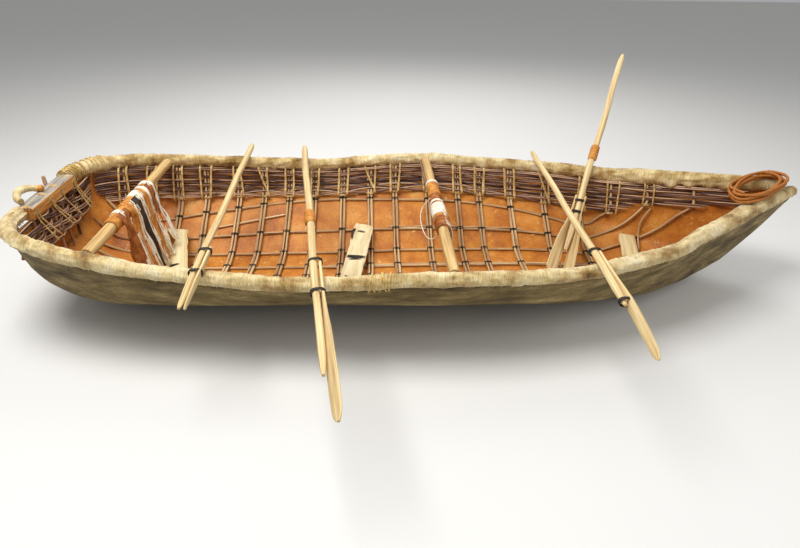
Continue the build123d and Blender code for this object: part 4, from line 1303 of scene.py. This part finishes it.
def make_stern():
    """Hewn timber across the stern with the thongs that bind it, the furry roll looped over it, the stub of
    a stick and the strap that hangs at the starboard corner."""
    low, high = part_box("transom_beam")
    size, middle = high - low, (low + high) / 2
    bm = bmesh.new()

    def place(u, v):
        angle = 2 * pi * u + pi / 4
        a, b = cos(angle), sin(angle)
        x = max(-1.0, min(1.0, a * 1.32)) * size.x / 2
        z = max(-1.0, min(1.0, b * 1.32)) * size.z / 2
        y = (v - 0.5) * size.y
        hewn = 0.0022 * noise.noise(Vector((x * 30, y * 12, z * 30)))
        return middle + Vector((x * 0.985 + hewn, y, z * 0.985 + hewn))

    wrapped(bm, 60, 40, place, (0.23, size.y))
    finish_piece(bm, "stern_timber", "hull", (grey_topped_timber(),), replaces=("transom_beam",))
    bm = bmesh.new()
    for y in (-0.165, -0.040, 0.050, 0.160):
        for k in range(3):
            loop_round(bm, Vector((middle.x, y + 0.007 * (k - 1), middle.z)), Vector((1, 0, 0)), UP,
                       size.x / 2 - 0.002, size.z / 2 - 0.001, 0.0030, turns=1.05,
                       along=Vector((0, 0.006 * (k - 1), 0)), sides=6)
    finish_piece(bm, "timber_thongs", "hull", (rawhide,))

    top = high.z + 0.0133
    bm = bmesh.new()
    points = [(-1.588, -0.150, top), (-1.602, -0.140, top + 0.003), (-1.615, -0.128, top + 0.006),
              (-1.632, -0.080, top + 0.013), (-1.622, -0.035, top + 0.009), (-1.590, -0.012, top)]
    rod(bm, points, 0.0132, sides=16, steps=8, blunt=0.6, knots=0.3)
    finish_piece(bm, "furry_roll", "hull", (hair,), replaces=("stern_roll",))
    bm = bmesh.new()
    rod(bm, [(-1.607, -0.022, top + 0.004), (-1.590, -0.012, top), (-1.574, -0.004, top - 0.001)], 0.0126,
        sides=12,
        steps=5, blunt=0.5, knots=0.2)
    finish_piece(bm, "furry_roll_end", "hull", (ochre,))
    low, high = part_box("stern_peg")
    middle = (low + high) / 2
    bm = bmesh.new()
    rod(bm, [(middle.x, middle.y, low.z), middle, (middle.x, middle.y, high.z)], 0.0078, sides=10, steps=5,
        facing=Vector((1, 0, 0)), blunt=0.9, knots=0.2)
    for face in bm.faces:
        if face.calc_center_median().z > high.z - 0.004:
            face.material_index = 1
    finish_piece(bm, "stick_stub", "hull", (bark, peeled), replaces=("stern_peg",))
    low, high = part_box("stern_strap")
    y = (low.y + high.y) / 2
    bm = bmesh.new()
    line = fair_line([(-1.586, y, high.z), (-1.586, y + 0.001, 0.350), (-1.585, y - 0.001, 0.302),
                      (-1.589, y, 0.284), (-1.591, y + 0.003, low.z + 0.002)], 6)

    def strap(u, v):
        point = line[round(v * (len(line) - 1))]
        foot = max(0.0, (v - 0.74) / 0.26)
        end = 1.0 if v < 0.97 else 0.7
        wide = (high.y - low.y) / 2 * (0.92 - 0.12 * sin(pi * min(1, v * 1.3)) + 0.08 * foot) * end
        deep = 0.0048 + 0.0095 * foot
        a, b = cos(2 * pi * u), sin(2 * pi * u)
        fold = 1 + 0.12 * noise.noise(Vector((v * 8, a * 1.5, b)))
        return point + Vector((b * deep * fold, a * wide * fold, 0))

    wrapped(bm, len(line) - 1, 20, strap, (0.1, 0.14))
    for face in bm.faces:
        if face.calc_center_median().z < 0.285:
            face.material_index = 1
    finish_piece(bm, "hanging_strap", "hull", (hair, brown_hide), replaces=("stern_strap",))
    bm = bmesh.new()
    for _ in range(26):
        lie = Vector((dice.uniform(0.2, 1), dice.uniform(-0.9, 0.9), dice.uniform(-0.5, 0.3))).normalized()
        foot = Vector((-1.580, y + dice.uniform(-0.012, 0.016), dice.uniform(0.268, 0.282)))
        rod(bm, [foot, foot + lie * 0.010, foot + lie * 0.019 + UP * dice.uniform(-0.004, 0.004)], 0.0013,
            sides=4,
            steps=2, taper=0.7)
    finish_piece(bm, "strap_tuft", "hull", (fray,))


def make_stem():
    """Ragged cut ends of dark rods that show in and under the roll at the tip of the stem."""
    bm = bmesh.new()
    for k in range(14):
        y = (k % 7 - 3) * 0.0075 + dice.uniform(-0.002, 0.002)
        z = 0.412 + 0.013 * (k // 7) + 0.004 * (k % 3)
        reach = 1.604 + dice.uniform(-0.010, 0.010)
        rod(bm, [(1.545, y * 0.7, z - 0.022), (1.58, y, z - 0.006), (reach, y * 1.2, z)],
            dice.uniform(0.0030, 0.0050),
            sides=6, steps=3, knots=0.3, blunt=0.8)
    finish_piece(bm, "stem_rods", "hull", (bark,))


def make_studio():
    """Pale floor, soft lights and the camera at the photograph's viewing angle."""
    bm = bmesh.new()
    bmesh.ops.create_grid(bm, x_segments=1, y_segments=1, size=14)
    mesh = bpy.data.meshes.new("studio_floor")
    bm.to_mesh(mesh)
    bm.free()
    material, _, shader = new_material("pale_floor", 0.9)
    shader.inputs["Base Color"].default_value = linear("DAD8D4")
    mesh.materials.append(material)
    ground = bpy.data.objects.new("studio_floor", mesh)
    ground.location.z = -0.001
    bpy.context.scene.collection.objects.link(ground)
    for name, place, size, power in (("key", (-1.4, -0.6, 3.8), 2.0, 160),
                                     ("fill", (2.4, -2.4, 2.8), 3.0, 45),
                                     ("back", (0.3, 3.0, 3.2), 3.0, 70)):
        light = bpy.data.lights.new(name, "AREA")
        light.energy = power
        light.size = size
        lamp = bpy.data.objects.new(name, light)
        lamp.location = place
        lamp.rotation_euler = (Vector((0, 0, 0.2)) - Vector(place)).to_track_quat("-Z", "Y").to_euler()
        bpy.context.scene.collection.objects.link(lamp)
    world = bpy.data.worlds.new("studio")
    world.use_nodes = True
    world.node_tree.nodes["Background"].inputs[0].default_value = linear("F2F4F6")
    world.node_tree.nodes["Background"].inputs[1].default_value = 0.42
    bpy.context.scene.world = world

    pitch, yaw, roll = CAMERA_DOWN, CAMERA_TO_BOW, CAMERA_ROLL
    look = Vector((sin(yaw) * cos(pitch), cos(yaw) * cos(pitch), -sin(pitch)))
    right = Vector((cos(yaw), -sin(yaw), 0))
    up = right.cross(look)
    turned = right * cos(roll) + up * sin(roll)
    upright = up * cos(roll) - right * sin(roll)
    camera = bpy.data.cameras.new("photo_view")
    camera.sensor_width = SENSOR_MM
    camera.lens = FOCAL_PX * SENSOR_MM / FRAME_PX
    holder = bpy.data.objects.new("photo_view", camera)
    holder.matrix_world = Matrix.Translation(CAMERA_AT) @ Matrix((turned, upright,
                                                                  -look)).transposed().to_4x4()
    bpy.context.scene.collection.objects.link(holder)
    bpy.context.scene.camera = holder
    bpy.context.scene.view_settings.view_transform = "Standard"


make_hull()
make_rims()
make_rim_turns()
make_ribs()
make_stringers()
make_crossings()
make_band()
make_thongs()
make_poles()
make_pole_extras()
make_strips()
make_boards()
make_paddles()
make_stern()
make_rope()
make_stem()
make_studio()
